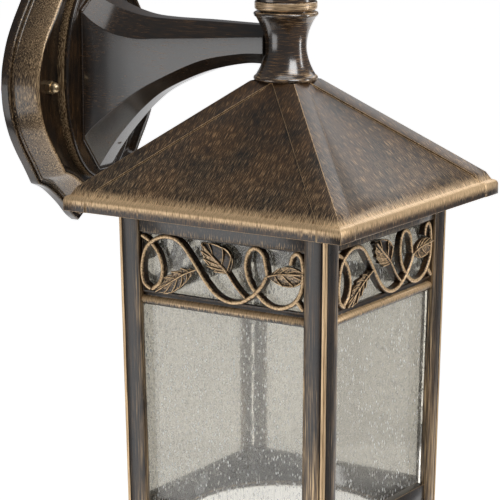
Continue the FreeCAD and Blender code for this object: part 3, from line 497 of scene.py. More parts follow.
def seeded_glass():
    """Greyish glass full of small drawn out bubbles, whose glint is painted as white specks, with a
    faint streaky cloud.
    """
    kit = Nodes("seeded_glass")
    seeds = kit.add("ShaderNodeTexVoronoi")
    kit.feed(seeds.inputs["Vector"], kit.place((1, 1, 0.42)))
    seeds.inputs["Scale"].default_value = SEEDS_PER_METRE
    wave = kit.noise(kit.place((1, 1, 0.22)), scale=160, detail=4)
    streak = kit.noise(kit.place((1, 1, 0.08)), scale=700, detail=3)
    patch = kit.step(kit.noise(kit.place((1, 1, 0.5)), scale=45, detail=3), 0.3, 0.7)
    seed = kit.step(seeds.outputs["Distance"], 0.34, 0.1)
    seed = kit.times(seed, kit.plus(patch, 0.35), clamp=True)
    # Where a seed is, the glass turns white and less clear: a painted glint of the bubbles; the streaks
    # add a faint cloud.
    seed_glint_and_haze = kit.plus(kit.times(seed, 0.7), kit.times(kit.step(streak, 0.4, 0.75), 0.1))
    kit.give("Base Color", kit.blend(seed, (0.70, 0.68, 0.625, 1), (1, 1, 0.98, 1)))
    kit.give("Transmission Weight", kit.maths("SUBTRACT", 0.93, seed_glint_and_haze))
    kit.give("IOR", 1.45)
    kit.give("Roughness", kit.blend_number(seed, 0.06, 0.35))
    kit.bump(kit.plus(kit.times(seed, 0.35), kit.times(wave, 0.65)), 0.2, 0.3 * MM)
    return kit.material


glass_finish = seeded_glass()


# %% Plain metals and porcelain
def plain_metal(name, colour, rough, streaks=(600, 600, 600)):
    """A bare or plated metal with fine tool marks."""
    kit = Nodes(name)
    marks = kit.noise(kit.place(streaks), detail=5)
    dull = tuple(channel * 0.72 for channel in colour[:3]) + (1,)
    kit.give("Base Color", kit.blend(kit.step(marks, 0.3, 0.7), dull, colour))
    kit.give("Metallic", 1.0)
    kit.give("Roughness", kit.plus(kit.times(marks, 0.2), rough))
    kit.bump(marks, 0.15, 0.05 * MM)
    return kit.material


brass = plain_metal("worn_brass", (0.80, 0.62, 0.38, 1), 0.26)
zinc = plain_metal("zinc_plate", (0.62, 0.63, 0.65, 1), 0.24, (250, 900, 900))


def glazed_porcelain():
    kit = Nodes("glazed_porcelain")
    cloud = kit.noise(kit.place((60, 60, 60)), detail=3)
    kit.give("Base Color", kit.blend(cloud, (0.86, 0.84, 0.78, 1), (0.93, 0.92, 0.88, 1)))
    kit.give("Roughness", 0.12)
    kit.bump(cloud, 0.1, 0.2 * MM)
    return kit.material


porcelain = glazed_porcelain()

# %% [markdown]
# ## Hidden works
# The bracket, studs, screws, clips and lampholder are plain working parts whose
# shape is already right in the frame, so they stay and only get a better finish.

# %% Finish the carried pieces
HIDDEN = {
    "mounting_bracket": zinc,
    "mounting_studs": zinc,
    "arm_screws": zinc,
    "roof_screws": zinc,
    "base_screws": zinc,
    "glass_clips": zinc,
    "earth_screw": brass,
    "lampholder_cap": zinc,
    "lampholder_body": porcelain,
    "lampholder_shell": brass,
    "lampholder_contact": brass,
    "hanger_tube": brass,
    "hanger_nut": brass,
}
for node, finish in HIDDEN.items():
    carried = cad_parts[node]
    carried.data.materials.clear()
    carried.data.materials.append(finish)
print("carried pieces", len(HIDDEN))

# %% [markdown]
# ## Contact spring
# The lamp presses the centre contact up against a small coil spring. A ring of
# points carried round a rising spiral gives the wire.

# %% Coil spring
spring_low, spring_high = span("contact_spring")
WIRE = 0.35 * MM
SPRING_TURNS = 4
SPRING_STEPS = 24
coil_radius = (spring_high.x - spring_low.x) / 2 - WIRE
spring_rise = spring_high.z - spring_low.z - 2 * WIRE
rings = []
for step in range(SPRING_TURNS * SPRING_STEPS + 1):
    angle = 2 * math.pi * step / SPRING_STEPS
    outward = Vector((math.cos(angle), math.sin(angle), 0))
    level = spring_low.z + WIRE + spring_rise * step / (SPRING_TURNS * SPRING_STEPS)
    ring = []
    for corner in range(8):
        turn = 2 * math.pi * corner / 8
        reach = outward * (coil_radius + WIRE * math.cos(turn))
        ring.append(Vector((AXIS.x + reach.x, AXIS.y + reach.y, level + WIRE * math.sin(turn))))
    rings.append(ring)
spring = grown("contact_coil", rings)
smooth(spring, 60)
complete(spring, zinc, "contact_spring")
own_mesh(spring)

# %% [markdown]
# ## Roof
# The roof is one casting: an upright eave band, four sloping panels sunk between
# flat hip bands, and a hollow underside with a flange for the cage. One ring of
# twenty points goes round it, five to a side: the corner, the band's edge, the
# sunk panel's edge, and the same again. Growing that ring up the outside and down
# the inside makes the whole shell in one go.

# %% Roof shell
EAVE_BAND = 9 * MM
HIP_BAND = 15 * MM
PANEL_SINK = 1.7 * MM
ROOF_SHELL = 5.9 * MM
SEAT_THICK = 3 * MM
SEAT_HALF = 52 * MM
ROOF_FLAT = 15 * MM
CROWN_THICK = 5 * MM
EAVE_ROUND = 3 * MM
EAVE_SINK = 0.5 * MM
SINK_RUN = 0.9 * MM


def roof_ring(half, level, sink=0):
    """Twenty points round the roof at one level, the panels sunk by a given depth."""
    band = min(HIP_BAND, half)
    inner = min(band + SINK_RUN, half)
    sink = sink if half > band + MM else 0
    marks = [(0, 0), (band, 0), (inner, sink), (2 * half - inner, sink), (2 * half - band, 0)]
    ring = []
    for side in range(4):
        turn = Matrix.Rotation(side * math.pi / 2, 3, "Z")
        for along, back in marks:
            ring.append(AXIS + turn @ Vector((along - half, back - half, level)))
    return ring


def slope_half(level):
    """Half the roof's width on the slope at a height above the eave's underside."""
    share = (level - EAVE_BAND) / (ROOF_TOP - EAVE_BAND)
    return ROOF_HALF + (ROOF_FLAT - ROOF_HALF) * share


EAVE_LEVELS = [0, 1.5 * MM, 3 * MM, 4.5 * MM, 6 * MM]
ROUND_STEPS = 4
SLOPE_STEPS = 14
rings = [roof_ring(ROOF_HALF, level, EAVE_SINK) for level in EAVE_LEVELS]
for step in range(1, ROUND_STEPS + 1):
    angle = step / ROUND_STEPS * math.pi / 2
    half = ROOF_HALF - EAVE_ROUND * (1 - math.cos(angle))
    rings.append(roof_ring(half, EAVE_BAND - EAVE_ROUND + EAVE_ROUND * math.sin(angle), EAVE_SINK))
for step in range(1, SLOPE_STEPS + 1):
    level = EAVE_BAND + (ROOF_TOP - EAVE_BAND) * step / SLOPE_STEPS
    rings.append(roof_ring(slope_half(level), level, PANEL_SINK))
roof = grown("roof_outside", rings, caps=False)

inside = [
    roof_ring(ROOF_HALF, 0, EAVE_SINK),
    roof_ring(SEAT_HALF, 0),
    roof_ring(SEAT_HALF, SEAT_THICK),
    roof_ring(ROOF_HALF - ROOF_SHELL, SEAT_THICK),
    roof_ring(ROOF_HALF - ROOF_SHELL, EAVE_BAND),
    roof_ring(ROOF_FLAT, ROOF_TOP - CROWN_THICK),
]
lining = grown("roof_inside", inside, caps=False)
roof = join([roof, lining], "roof_casting")
heal(roof)
soften_edges(roof, 0.55 * MM, angle=24, segments=2)


def ramp(value, low, high):
    """0 below low and 1 above high, in a straight line between."""
    return max(0.0, min(1.0, (value - low) / (high - low)))


def roof_gold(spot, normal):
    """The eave's rounded top is rubbed bright, its face less and less downwards."""
    level = spot.z - AXIS.z
    side = max(abs(spot.x - AXIS.x), abs(spot.y - AXIS.y))
    other = min(abs(spot.x - AXIS.x), abs(spot.y - AXIS.y))
    if normal.z < -0.2 or level < -0.1 * MM or side < ROOF_FLAT + MM:
        return 0.0
    if level < EAVE_BAND + 0.1 * MM:
        return 0.1 + 0.85 * ramp(level, 1.0 * MM, 6.0 * MM)
    low = 1 - (level - EAVE_BAND) / (ROOF_TOP - EAVE_BAND)
    hip = 0.42 if side - other < HIP_BAND else 0.0
    return max(hip * (0.55 + 0.45 * low), 0.85 * ramp(low, 0.93, 1.0), 0.2 * ramp(low, 0.5, 1.0))


dress(roof, roof_gold, edge=0.7, angle=35)
complete(roof, roof_enamel, "roof")

# %% [markdown]
# ## Corner posts
# Each post is an angle whose legs lie on two sides of the cage. Down its outer
# corner runs a small round bead between two grooves, which catches a line of gold.
# The angle's outline is drawn once and grown down to the foot, leaning inwards.

# %% Corner posts
def post_outline(half):
    """The angle's outline at the front left corner, anticlockwise from above."""
    corner = Vector((-half, -half))
    bead = [
        (0.0, 3.1), (0.4, 2.8), (0.4, 2.4), (0.0, 2.1), (0.0, 0.9), (0.1, 0.35),
        (0.35, 0.1), (0.9, 0.0), (2.1, 0.0), (2.4, 0.4), (2.8, 0.4), (3.1, 0.0),
    ]
    points = [corner + Vector((x, y)) * MM for x, y in bead]
    points += [corner + Vector((POST_LEG, 0)), corner + Vector((POST_LEG, POST_WALL))]
    points += [corner + Vector((POST_WALL, POST_WALL)), corner + Vector((POST_WALL, POST_LEG))]
    points += [corner + Vector((0, POST_LEG))]
    return points


POST_STEPS = 24
rings = []
for step in range(POST_STEPS + 1):
    drop = CAGE_HEIGHT * step / POST_STEPS
    outline = post_outline(cage_half(drop))
    rings.append([AXIS + Vector((point.x, point.y, -drop)) for point in outline])
post = grown("corner_post_a", rings)
soften_edges(post, 0.22 * MM, angle=38)


def post_gold(spot, normal):
    """The bead down the corner, the legs' inner lips, and one leg brushed lower down."""
    place = spot - AXIS
    half = cage_half(-place.z)
    across = (half + place.x) / MM
    along = (half + place.y) / MM
    if across < 2.2 and along < 2.2:
        return 0.85
    if max(across, along) > POST_LEG / MM - 0.6 and normal.z < 0.5:
        return 0.5
    lower = ramp(-place.z, 0.055, 0.15)
    return (0.66 if normal.x < -0.8 else 0.3) * lower


dress(post, post_gold, edge=0.15)
set_round(post, "corner_post", [f"corner_post_{corner}" for corner in CORNERS], post_enamel)

# %% [markdown]
# ## Rails
# Three rails tie each pair of posts: a flat one under the eave, one with a half
# round bead under the vine, and a flat one at the foot. A rail's cross section is
# drawn in the plane that looks along it, then grown from one post to the other.

# %% Rails
RAIL_DEPTH = 6 * MM
RAIL_FACE = 0.6 * MM


def rail(name, section):
    """Grow a section of (depth, drop) points along the front side, between the posts."""
    rings = []
    for station in (-1, -0.5, 0, 0.5, 1):
        ring = []
        for depth, drop in section:
            half = cage_half(drop)
            ring.append(AXIS + Vector(((half - POST_LEG) * station, -half + depth, -drop)))
        rings.append(ring)
    return grown(name, rings)


BEAD_STEPS = 14


def half_round(depth, drop, radius):
    """Points of a bead that bulges outwards, from its upper to its lower edge."""
    points = []
    for step in range(BEAD_STEPS + 1):
        angle = math.pi * step / BEAD_STEPS
        points.append((depth - radius * math.sin(angle), drop - radius * math.cos(angle)))
    return points


def flat_rail(name, top, foot):
    section = [(RAIL_DEPTH, top), (RAIL_FACE, top), (RAIL_FACE, foot), (RAIL_DEPTH, foot)]
    return rail(name, section)


TOP_RAIL = 12 * MM
MID_RAIL = 48 * MM
BEAD_RADIUS = 2.6 * MM
MID_RAIL_FOOT = 55.2 * MM
BOTTOM_RAIL = CAGE_HEIGHT - 14.3 * MM
bead_axis = MID_RAIL_FOOT - BEAD_RADIUS
WEB_FACE = RAIL_FACE + BEAD_RADIUS
section = [(RAIL_DEPTH, MID_RAIL), (WEB_FACE, MID_RAIL)]
section += half_round(WEB_FACE, bead_axis, BEAD_RADIUS)
section += [(RAIL_DEPTH, MID_RAIL_FOOT)]
middle_rail = rail("mid_rail_a", section)
top_rail = flat_rail("top_rail_a", 0, TOP_RAIL)
bottom_rail = flat_rail("bottom_rail_a", BOTTOM_RAIL, CAGE_HEIGHT)


def rail_gold_and_bead_shade(spot, normal):
    """The bead is gold, bright above and darkened below as painted shade; the flat rails are gilded only
    near their lower edges.
    """
    drop = AXIS.z - spot.z
    if MID_RAIL - MM < drop < MID_RAIL_FOOT + MM:
        on_bead = spot.y - AXIS.y + cage_half(drop) < WEB_FACE - 0.2 * MM
        # Down the bead the gold fades out: its lower half is painted shade.
        lower = (drop - bead_axis) / BEAD_RADIUS
        return 0.95 - 0.75 * ramp(lower, -0.5, 0.85) if on_bead else 0.0
    if normal.y > -0.7:
        return 0.0
    if drop < TOP_RAIL + MM:
        return 0.45 * ramp(drop, 5 * MM, TOP_RAIL)
    return 0.25 * ramp(-drop, -BOTTOM_RAIL - 4 * MM, -BOTTOM_RAIL)


rails = {"top_rail": top_rail, "mid_rail": middle_rail, "bottom_rail": bottom_rail}
for kind, piece in rails.items():
    soften_edges(piece, 0.3 * MM, angle=60)
    dress(piece, rail_gold_and_bead_shade, edge=0.55)
    set_round(piece, kind, [f"{kind}_{side}" for side in SIDES], rail_enamel)

# %% [markdown]
# ## Base plate
# A flat square plate with a large round hole, through which the lamp is changed.
# A square ring of points and a round one with the same count, joined face by face,
# make the plate without any cutting.

# %% Base plate
base_low, base_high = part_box("base_plate")
BASE_HALF = (base_high[0] - base_low[0]) / 2
HOLE_RADIUS = 59 * MM
RIM_POINTS = 96


def square_point(angle, half, level):
    """The point of a square's edge that a ray from its middle meets."""
    ray = Vector((math.cos(angle), math.sin(angle)))
    reach = half / max(abs(ray.x), abs(ray.y))
    return Vector((AXIS.x + ray.x * reach, AXIS.y + ray.y * reach, level))


def round_point(angle, radius, level):
    return Vector((AXIS.x + math.cos(angle) * radius, AXIS.y + math.sin(angle) * radius, level))


def rim(point_at, size, level):
    """A ring of the square or of the hole at one level."""
    return [point_at(2 * math.pi * step / RIM_POINTS, size, level) for step in range(RIM_POINTS)]


rings = [rim(square_point, BASE_HALF, level) for level in (base_low[2], base_high[2])]
rings += [rim(round_point, HOLE_RADIUS, level) for level in (base_high[2], base_low[2])]
rings.append(rings[0])
base = grown("base_casting", rings, caps=False)
soften_edges(base, 0.6 * MM, angle=40)
dress(base, edge=0.6)
complete(base, rail_enamel, "base_plate")

# %% [markdown]
# ## Glass
# The four panes are flat in the frame already. They get the seeded glass, whose
# bubbles live in the material, because thousands of them would only be specks.

# %% Panes
for side in SIDES:
    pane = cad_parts[f"glass_pane_{side}"]
    pane.data.materials.clear()
    pane.data.materials.append(glass_finish)

# %% [markdown]
# ## Vine frieze
# Between the two upper rails hangs an open casting: a thin frame, stems that cross
# over and under each other, a spiral tendril and three veined leaves. A stem is a
# deep narrow section with a rounded face, swept along a smooth line through a few
# points. A leaf is grown inwards from its toothed outline to its midrib, with a
# raised rim, and its veins are small stems that run from the midrib to the teeth.

# %% Lines through a few points
def between(a, b, c, d, t):
    """Where a curve that comes from a and goes on to d stands, at t from b to c."""
    bend = 2 * a - 5 * b + 4 * c - d
    twist = 3 * b - a - 3 * c + d
    return 0.5 * (2 * b + (c - a) * t + bend * t**2 + twist * t**3)


def smooth_line(points, steps=6):
    """A curve that passes through every point, with steps short runs to each gap."""
    head = tuple(2 * a - b for a, b in zip(points[0], points[1]))
    tail = tuple(2 * a - b for a, b in zip(points[-1], points[-2]))
    chain = [head, *points, tail]
    line = []
    for before, start, stop, after in zip(chain, chain[1:], chain[2:], chain[3:]):
        for step in range(steps):
            spot = [between(*four, step / steps) for four in zip(before, start, stop, after)]
            line.append(tuple(spot))
    line.append(tuple(points[-1]))
    return line


# %% Stems
FRIEZE_PLANE = cage_half(24 * MM)
STRAND_DEEP = 4.9 * MM
STRAND_HALF = 1.35 * MM
STRAND_SECTION = [
    (-1, 1), (-1, 0.3), (-0.93, 0.19), (-0.72, 0.09), (-0.38, 0.02), (0, 0),
    (0.38, 0.02), (0.72, 0.09), (0.93, 0.19), (1, 0.3), (1, 1),
]


def frieze_point(across, drop, depth):
    """A place on the front side: across from its middle, below the eave, and in."""
    return AXIS + Vector((across, depth - FRIEZE_PLANE, -drop))


def stem(name, points, near=0.0, far=STRAND_DEEP, half=STRAND_HALF, steps=6, ends=0.8):
    """Sweep the stem's section along a line of (across, drop) points in millimetres."""
    line = [Vector(point) * MM for point in smooth_line(points, steps)]
    rings = []
    for index, spot in enumerate(line):
        ahead = line[min(index + 1, len(line) - 1)] - line[max(index - 1, 0)]
        side = Vector((-ahead.y, ahead.x)).normalized()
        taper = ends if index in (0, len(line) - 1) else 1.0
        ring = []
        for share, depth in STRAND_SECTION:
            flank = spot + side * share * half * taper
            ring.append(frieze_point(flank.x, flank.y, near + (far - near) * depth))
        rings.append(ring)
    return grown(name, rings)


VINE = [
    (-48, 45.4), (-53, 41.5), (-54.2, 32), (-51, 21), (-43, 14.8), (-34.5, 13.4), (-27, 16.2),
    (-19, 25), (-10.5, 36), (-3, 43), (5, 46.1), (14, 45.2), (22.5, 40), (28, 34), (31, 28.7),
]
BRANCHES = {
    "vine_tendril": [(-54.9, 14.4), (-49, 17.5), (-43, 24), (-40.3, 33), (-42.5, 41), (-48, 45.4)],
    "vine_loop": [
        (46, 20.5), (47.6, 15.4), (50.8, 13.8), (53.4, 17.5), (54.2, 26), (52.8, 35),
        (48, 42), (40, 45.7), (32, 45), (24, 39.5), (18.6, 32.5), (16.6, 24),
        (18.8, 16), (23.5, 13.6), (28.2, 17), (30, 23.5), (31, 28.7),
    ],
    "vine_spur": [(50.4, 41), (52.6, 43.4), (54.5, 45.5)],
}
RIBS = {
    "vine_rib_a": ([(-16, 30), (-25, 34), (-34, 39.5), (-44.5, 46.4)], 0.7 * MM),
    "vine_rib_b": ([(18, 43.6), (11, 37.5), (3, 28), (-5, 21.5), (-12.5, 15)], 0.9 * MM),
    "vine_rib_c": ([(31, 28.7), (38, 26.6), (46, 25.6), (55.2, 25)], 0.7 * MM),
}
UNDER = 0.9 * MM
RIB_NEAR = 0.1 * MM


def stem_gold(spot, normal):
    """Only what faces outwards is rubbed: the deep sides stay dark."""
    return 0.95 * ramp(-normal.y, 0.2, 0.9)


frieze = [stem("vine_main", VINE)]
frieze += [stem(name, line, near=UNDER) for name, line in BRANCHES.items()]
frieze += [stem(name, line, near=RIB_NEAR, half=half) for name, (line, half) in RIBS.items()]
for piece in frieze:
    gild(piece, stem_gold)
print("stems", len(frieze))


# %% Leaves
# Each leaf: its stalk and tip, and the points between them on the two sides of its
# outline and on its midrib. Then, side by side, how deep its teeth are, how many
# veins there are, and how far each half of the blade is rubbed; on the second leaf
# the first half's low share is painted shade.
LEAVES = [
    {
        "stalk": (-18, 30.6),
        "tip": (-44.8, 46.6),
        "sides": (
            [(-25, 30.0), (-33.5, 33.0), (-40, 38.2)],
            [(-20, 34.5), (-26.5, 41.5), (-36, 47.0)],
        ),
        "rib": [(-25, 34), (-34, 39.5)],
        "teeth": (2.2, 0.5),
        "veins": (4, 6),
        "rubbed": (0.6, 0.4),
    },
    {
        "stalk": (5.2, 30.5),
        "tip": (-13, 14),
        "sides": ([(8.2, 23), (5.2, 17), (-3, 14.2)], [(-3.5, 30.4), (-10.5, 26.4), (-13.8, 20)]),
        "rib": [(3, 28), (-5, 21.5)],
        "teeth": (0.3, 1.8),
        "veins": (3, 5),
        # The first half's low share, 0.2, is painted shade over that half of the leaf.
        "rubbed": (0.2, 0.7),
    },
    {
        "stalk": (31.5, 28.8),
        "tip": (55.4, 25),
        "sides": ([(37.5, 23.6), (45, 21.6), (51.5, 22.8)], [(37.5, 32.4), (45, 33.4), (52, 31)]),
        "rib": [(38, 26.6), (46, 25.6)],
        "teeth": (0.2, 0.2),
        "veins": (4, 3),
        "rubbed": (0.6, 0.55),
    },
]
SIDE_STEPS = 40
BLADE = [(0.0, 3.4), (0.0, 1.7), (0.03, 1.25), (0.1, 1.25), (0.16, 1.75), (0.5, 1.9), (0.85, 1.3)]
VEIN = {"near": 0.75 * MM, "far": 2.2 * MM, "half": 0.42 * MM, "steps": 4, "ends": 0.6}
VEIN_LEAD = 0.13
TOOTHED = (0.06, 0.94)
DEEPEST_BITE = 0.4


def at_share(line, share):
    """The point at a share of a line's points."""
    place = max(0.0, min(1.0, share)) * (len(line) - 1)
    index = min(int(place), len(line) - 2)
    return line[index].lerp(line[index + 1], place - index)


def even_line(points, count):
    fine_line = [Vector(point) for point in smooth_line(points, 12)]
    return [at_share(fine_line, step / count) for step in range(count + 1)]


def leaf(name, plan):
    """A leaf's blade with a raised rim, and its veins, as a list of pieces."""
    def drawn(middle):
        return even_line([plan["stalk"], *middle, plan["tip"]], SIDE_STEPS)

    spine = drawn(plan["rib"])
    pieces = []
    rims = []
    for side, teeth, veins in zip(plan["sides"], plan["teeth"], plan["veins"]):
        edge_line = drawn(side)
        rim = []
        for step, spot in enumerate(edge_line):
            share = step / SIDE_STEPS
            saw = (share * (veins + 1) - VEIN_LEAD * (veins + 1)) % 1.0
            bite = teeth * (1 - saw) if TOOTHED[0] < share < TOOTHED[1] else 0.0
            inward = at_share(spine, share) - spot
            rim.append(spot + inward.normalized() * min(bite, inward.length * DEEPEST_BITE))
        rims.append(rim)
        for number in range(1, veins + 1):
            share = number / (veins + 1)
            start = at_share(spine, share * 0.9)
            stop = at_share(edge_line, share + VEIN_LEAD)
            sag = (at_share(spine, share) - at_share(spine, share + 0.1)) * 0.25
            line = [tuple(start), tuple(start.lerp(stop, 0.5) + sag), tuple(start.lerp(stop, 0.96))]
            pieces.append(gild(stem(f"{name}_vein", line, **VEIN), stem_gold))
    loop = rims[0] + list(reversed(rims[1][1:-1]))
    feet = spine + list(reversed(spine[1:-1]))
    rings = []
    for share, depth in BLADE:
        ring = []
        for spot, foot in zip(loop, feet):
            place = spot.lerp(foot + (spot - foot) * 0.05, share)
            ring.append(frieze_point(place.x * MM, place.y * MM, depth * MM))
        rings.append(ring)
    blade = grown(name, rings)

    def blade_gold_and_shade(spot, normal):
        """The rim is rubbed like a stem, each side of the blade by its own amount, which on the second
        leaf also paints one half in shade.
        """
        flat = Vector(((spot.x - AXIS.x) / MM, (AXIS.z - spot.z) / MM))
        depth = (spot.y - AXIS.y + FRIEZE_PLANE) / MM
        gaps = [min((flat - mark).length for mark in rim) for rim in rims]
        if depth < 1.4 and min(gaps) < 1:
            return stem_gold(spot, normal)
        return plan["rubbed"][0 if gaps[0] < gaps[1] else 1] * ramp(-normal.y, 0.2, 0.9)

    gild(blade, blade_gold_and_shade)
    return pieces + [blade]


for index, plan in enumerate(LEAVES):
    frieze += leaf(f"vine_leaf_{index}", plan)
print("frieze pieces", len(frieze))

# %% Frame of the frieze
BORDER = 1.3 * MM
BORDER_NEAR = 2.4 * MM
BORDER_FAR = 5.2 * MM
BORDER_GAP = 0.05 * MM


def border_ring(inset, depth):
    """A rectangle inside the rails and posts, leaning with the posts."""
    top = TOP_RAIL + inset
    foot = MID_RAIL - inset
    corners = []
    for side, drop in ((-1, foot), (1, foot), (1, top), (-1, top)):
        reach = cage_half(drop) - POST_LEG - 0.2 * MM - inset
        corners.append(frieze_point(side * reach, drop, depth))
    return corners


rings = [border_ring(BORDER_GAP, BORDER_FAR), border_ring(BORDER_GAP, BORDER_NEAR)]
rings += [border_ring(BORDER, BORDER_NEAR), border_ring(BORDER, BORDER_FAR)]
rings.append(rings[0])
border = grown("vine_border", rings, caps=False)
soften_edges(border, 0.25 * MM, angle=40)
frieze.append(gild(border, edge=0.3))
frieze = join(frieze, "vine_casting_a")
lay_grain(frieze)
smooth(frieze, 50)
set_round(frieze, "vine_casting", [f"vine_frieze_{side}" for side in SIDES], vine_enamel)

# %% [markdown]
# ## Neck, ring and finial
# These three are turned on a lathe and threaded on the hanger tube. Each is a
# profile spun round the axis. The ring sits in a dark groove, and the finial is
# an urn with a small ball and a point.

# %% Turned pieces on the axis
CURVE_STEPS = 12


def sweep_through(start, middle, stop):
    """Points of a curve from start to stop that passes through middle."""
    control = [2 * m - (a + b) / 2 for a, m, b in zip(start, middle, stop)]
    points = []
    for step in range(1, CURVE_STEPS + 1):
        t = step / CURVE_STEPS
        parts = zip(start, control, stop)
        points.append(tuple((1 - t) ** 2 * a + 2 * t * (1 - t) * c + t**2 * b for a, c, b in parts))
    return points


def profile(*stretches):
    """A profile in millimetres: corners, and (start, middle, stop) for a curve."""
    points = []
    for stretch in stretches:
        curved = isinstance(stretch[0], tuple)
        points += [stretch[0], *sweep_through(*stretch)] if curved else [stretch]
    return [(radius * MM, height * MM) for radius, height in points]


NECK_FOOT, NECK_TOP = ((corner[2] - AXIS.z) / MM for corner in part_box("neck"))
RING_TOP = (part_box("neck_ring")[1][2] - AXIS.z) / MM
TIP = (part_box("finial")[1][2] - AXIS.z) / MM
BORE = 5.05

LIP = [(17.9, 2.7), (18.5, 2.2), (18.8, 1.5), (18.8, 0.9), (18.5, 0.35), (17.9, 0)]
NECK_MIDDLE = (NECK_FOOT + NECK_TOP) / 2
neck_profile = profile(
    (BORE, NECK_FOOT),
    *[(radius, NECK_FOOT + rise) for radius, rise in reversed(LIP)],
    ((17.3, NECK_FOOT + 3.2), (12.2, NECK_MIDDLE), (17.3, NECK_TOP - 3.2)),
    *[(radius, NECK_TOP - rise) for radius, rise in LIP],
    (BORE, NECK_TOP), (BORE, NECK_FOOT),
)
neck = turned("neck_turning", neck_profile)
ring_profile = profile(
    (BORE, NECK_TOP), (15.4, NECK_TOP), (15.6, NECK_TOP + 1),
    ((16.4, NECK_TOP + 1), (17.75, NECK_TOP + 1.6), (18.2, NECK_TOP + 2.9)),
    (18.2, RING_TOP - 0.5), (17.8, RING_TOP), (BORE, RING_TOP), (BORE, NECK_TOP),
)
ring = turned("ring_turning", ring_profile)


def up(share):
    return RING_TOP + (TIP - RING_TOP) * share


COLLAR = 4.0
finial_profile = profile(
    (0, up(0)), (17.4, up(0)), (17.9, up(0) + 0.5), (17.9, up(0) + COLLAR - 0.7), (17.3, up(0) + COLLAR),
    ((12.2, up(0) + COLLAR), (7.15, up(0.2)), (8.1, up(0.26))),
    ((8.1, up(0.26)), (13.0, up(0.46)), (5.9, up(0.65))),
    ((5.9, up(0.65)), (3.9, up(0.7)), (4.6, up(0.76))),
    ((4.6, up(0.76)), (5.5, up(0.85)), (2.6, up(0.93))),
    (1.2, up(0.975)), (0, up(1.0)),
)
finial = turned("finial_turning", finial_profile)


def turned_gold_and_painted_light(spot, normal):
    """The ring is rubbed bright, the lips and the neck's lower flare less; the neck is lighter on its +X
    side as a painted highlight, and above it faces that look up are lighter as painted light from above.
    """
    height = (spot.z - AXIS.z) / MM
    if NECK_TOP + 1.2 < height < RING_TOP - 0.1:
        return 0.75
    if height < NECK_TOP + 0.1:
        flare = abs(height - NECK_MIDDLE) / (NECK_TOP - NECK_MIDDLE)
        # The share grows towards +X: a painted highlight on the neck's right side.
        side = 0.5 + 0.5 * normal.x
        return (0.35 + 0.4 * ramp(flare, 0.5, 1.0)) * (0.5 + 0.5 * side)
    # Faces that look up get more: painted light from above.
    return 0.3 + 0.2 * normal.z


turnings = [(neck, "neck", BODY), (ring, "neck_ring", BODY), (finial, "finial", "finial_knob")]
for piece, node, body in turnings:
    dress(piece, turned_gold_and_painted_light, angle=35)
    complete(piece, neck_enamel, node, body)

# %% [markdown]
# ## Arm
# The arm is one casting that flares like a trumpet from the neck to the plate. It
# has eight sides. Each row gives a section: how far it stands from the lantern's
# axis, four heights from its crown to its keel, and three half widths.

# %% Arm
ARM_SECTIONS = [
    (9.5, 103.2, 97, 87.2, 80.8, 9.9, 5, 4.5),
    (26, 103.3, 96, 86, 80, 10.4, 5, 4.5),
    (52, 103.7, 94.1, 80.6, 73.8, 11.6, 5.6, 4.8),
    (80, 103.7, 92.5, 68.3, 61.6, 13.6, 6.4, 5.2),
    (97, 104.8, 91.7, 58.8, 49.4, 15.6, 7, 5.6),
    (113, 108.6, 94.6, 47, 33.4, 18.2, 7.6, 6),
    (124, 112.9, 100.2, 37.8, 19.8, 20.4, 7.8, 6.2),
    (131.9, 117, 107, 28.8, 8.4, 22, 8, 6.4),
]


def arm_ring(row):
    """Eight points of a section, from the crown round by the right side."""
    out, crown, high, low, keel, side_half, crown_half, keel_half = row
    corners = [
        (crown_half, crown), (side_half, high), (side_half, low), (keel_half, keel),
        (-keel_half, keel), (-side_half, low), (-side_half, high), (-crown_half, crown),
    ]
    return [AXIS + Vector((x, out, z)) * MM for x, z in corners]


def swollen(row, by):
    """The same section a little larger all round."""
    out, crown, high, low, keel, side_half, crown_half, keel_half = row
    less = by * 0.4
    heights = (crown + by, high + less, low - less, keel - by)
    return (out, *heights, side_half + by, crown_half + less, keel_half + less)


rows = smooth_line(ARM_SECTIONS, 7)
last = rows[-1]
rows[-1] = (last[0] - 1.9, *[a + (b - a) * 0.88 for a, b in zip(rows[-2][1:], last[1:])])
foot_row = (last[0] - 1.5, *last[1:])
rows += [swollen(foot_row, 0.5), swollen(last, 0.6)]
arm = grown("arm_casting", [arm_ring(row) for row in rows])
soften_edges(arm, 3.4 * MM, angle=20, segments=6)


def arm_gold(spot, normal):
    """A scuffed patch low on each flank, where the flare begins."""
    out = (spot.y - AXIS.y) / MM
    level = (spot.z - AXIS.z) / MM
    patch = ramp(out, 60, 95) * ramp(-out, -126, -104)
    return 0.32 * patch * ramp(-level, -80, -50) * ramp(abs(normal.x), 0.5, 0.9)


dress(arm, arm_gold, edge=0.0, angle=25)
complete(arm, arm_enamel, "arm")

# %% [markdown]
# ## Wall plate
# The plate is an escutcheon: a shield with a point above and below. One outline is
# drawn as a quarter and mirrored, and rings of it at different insets and depths
# make the flange, the small bead, the side wall, the front arris and the recess.
# The rings then turn into an oval, which carries the arm.

# %% Wall plate
BELLY = [(0.6, 0.678), (0.697, 0.564), (0.821, 0.428), (0.915, 0.297), (0.979, 0.143), (1.0, 0.0)]
COVE = [(0.6, 0.678), (0.43, 0.737), (0.235, 0.85), (0.1, 0.948), (0.0, 1.0)]
PLATE_WIDE = plate_high.x - plate_low.x
PLATE_TALL = plate_high.z - plate_low.z
PLATE_MIDDLE = (plate_high.z + plate_low.z) / 2
OVAL_LIFT = 4 * MM
OVAL_WIDE = 35 * MM
OVAL_TALL = 64 * MM


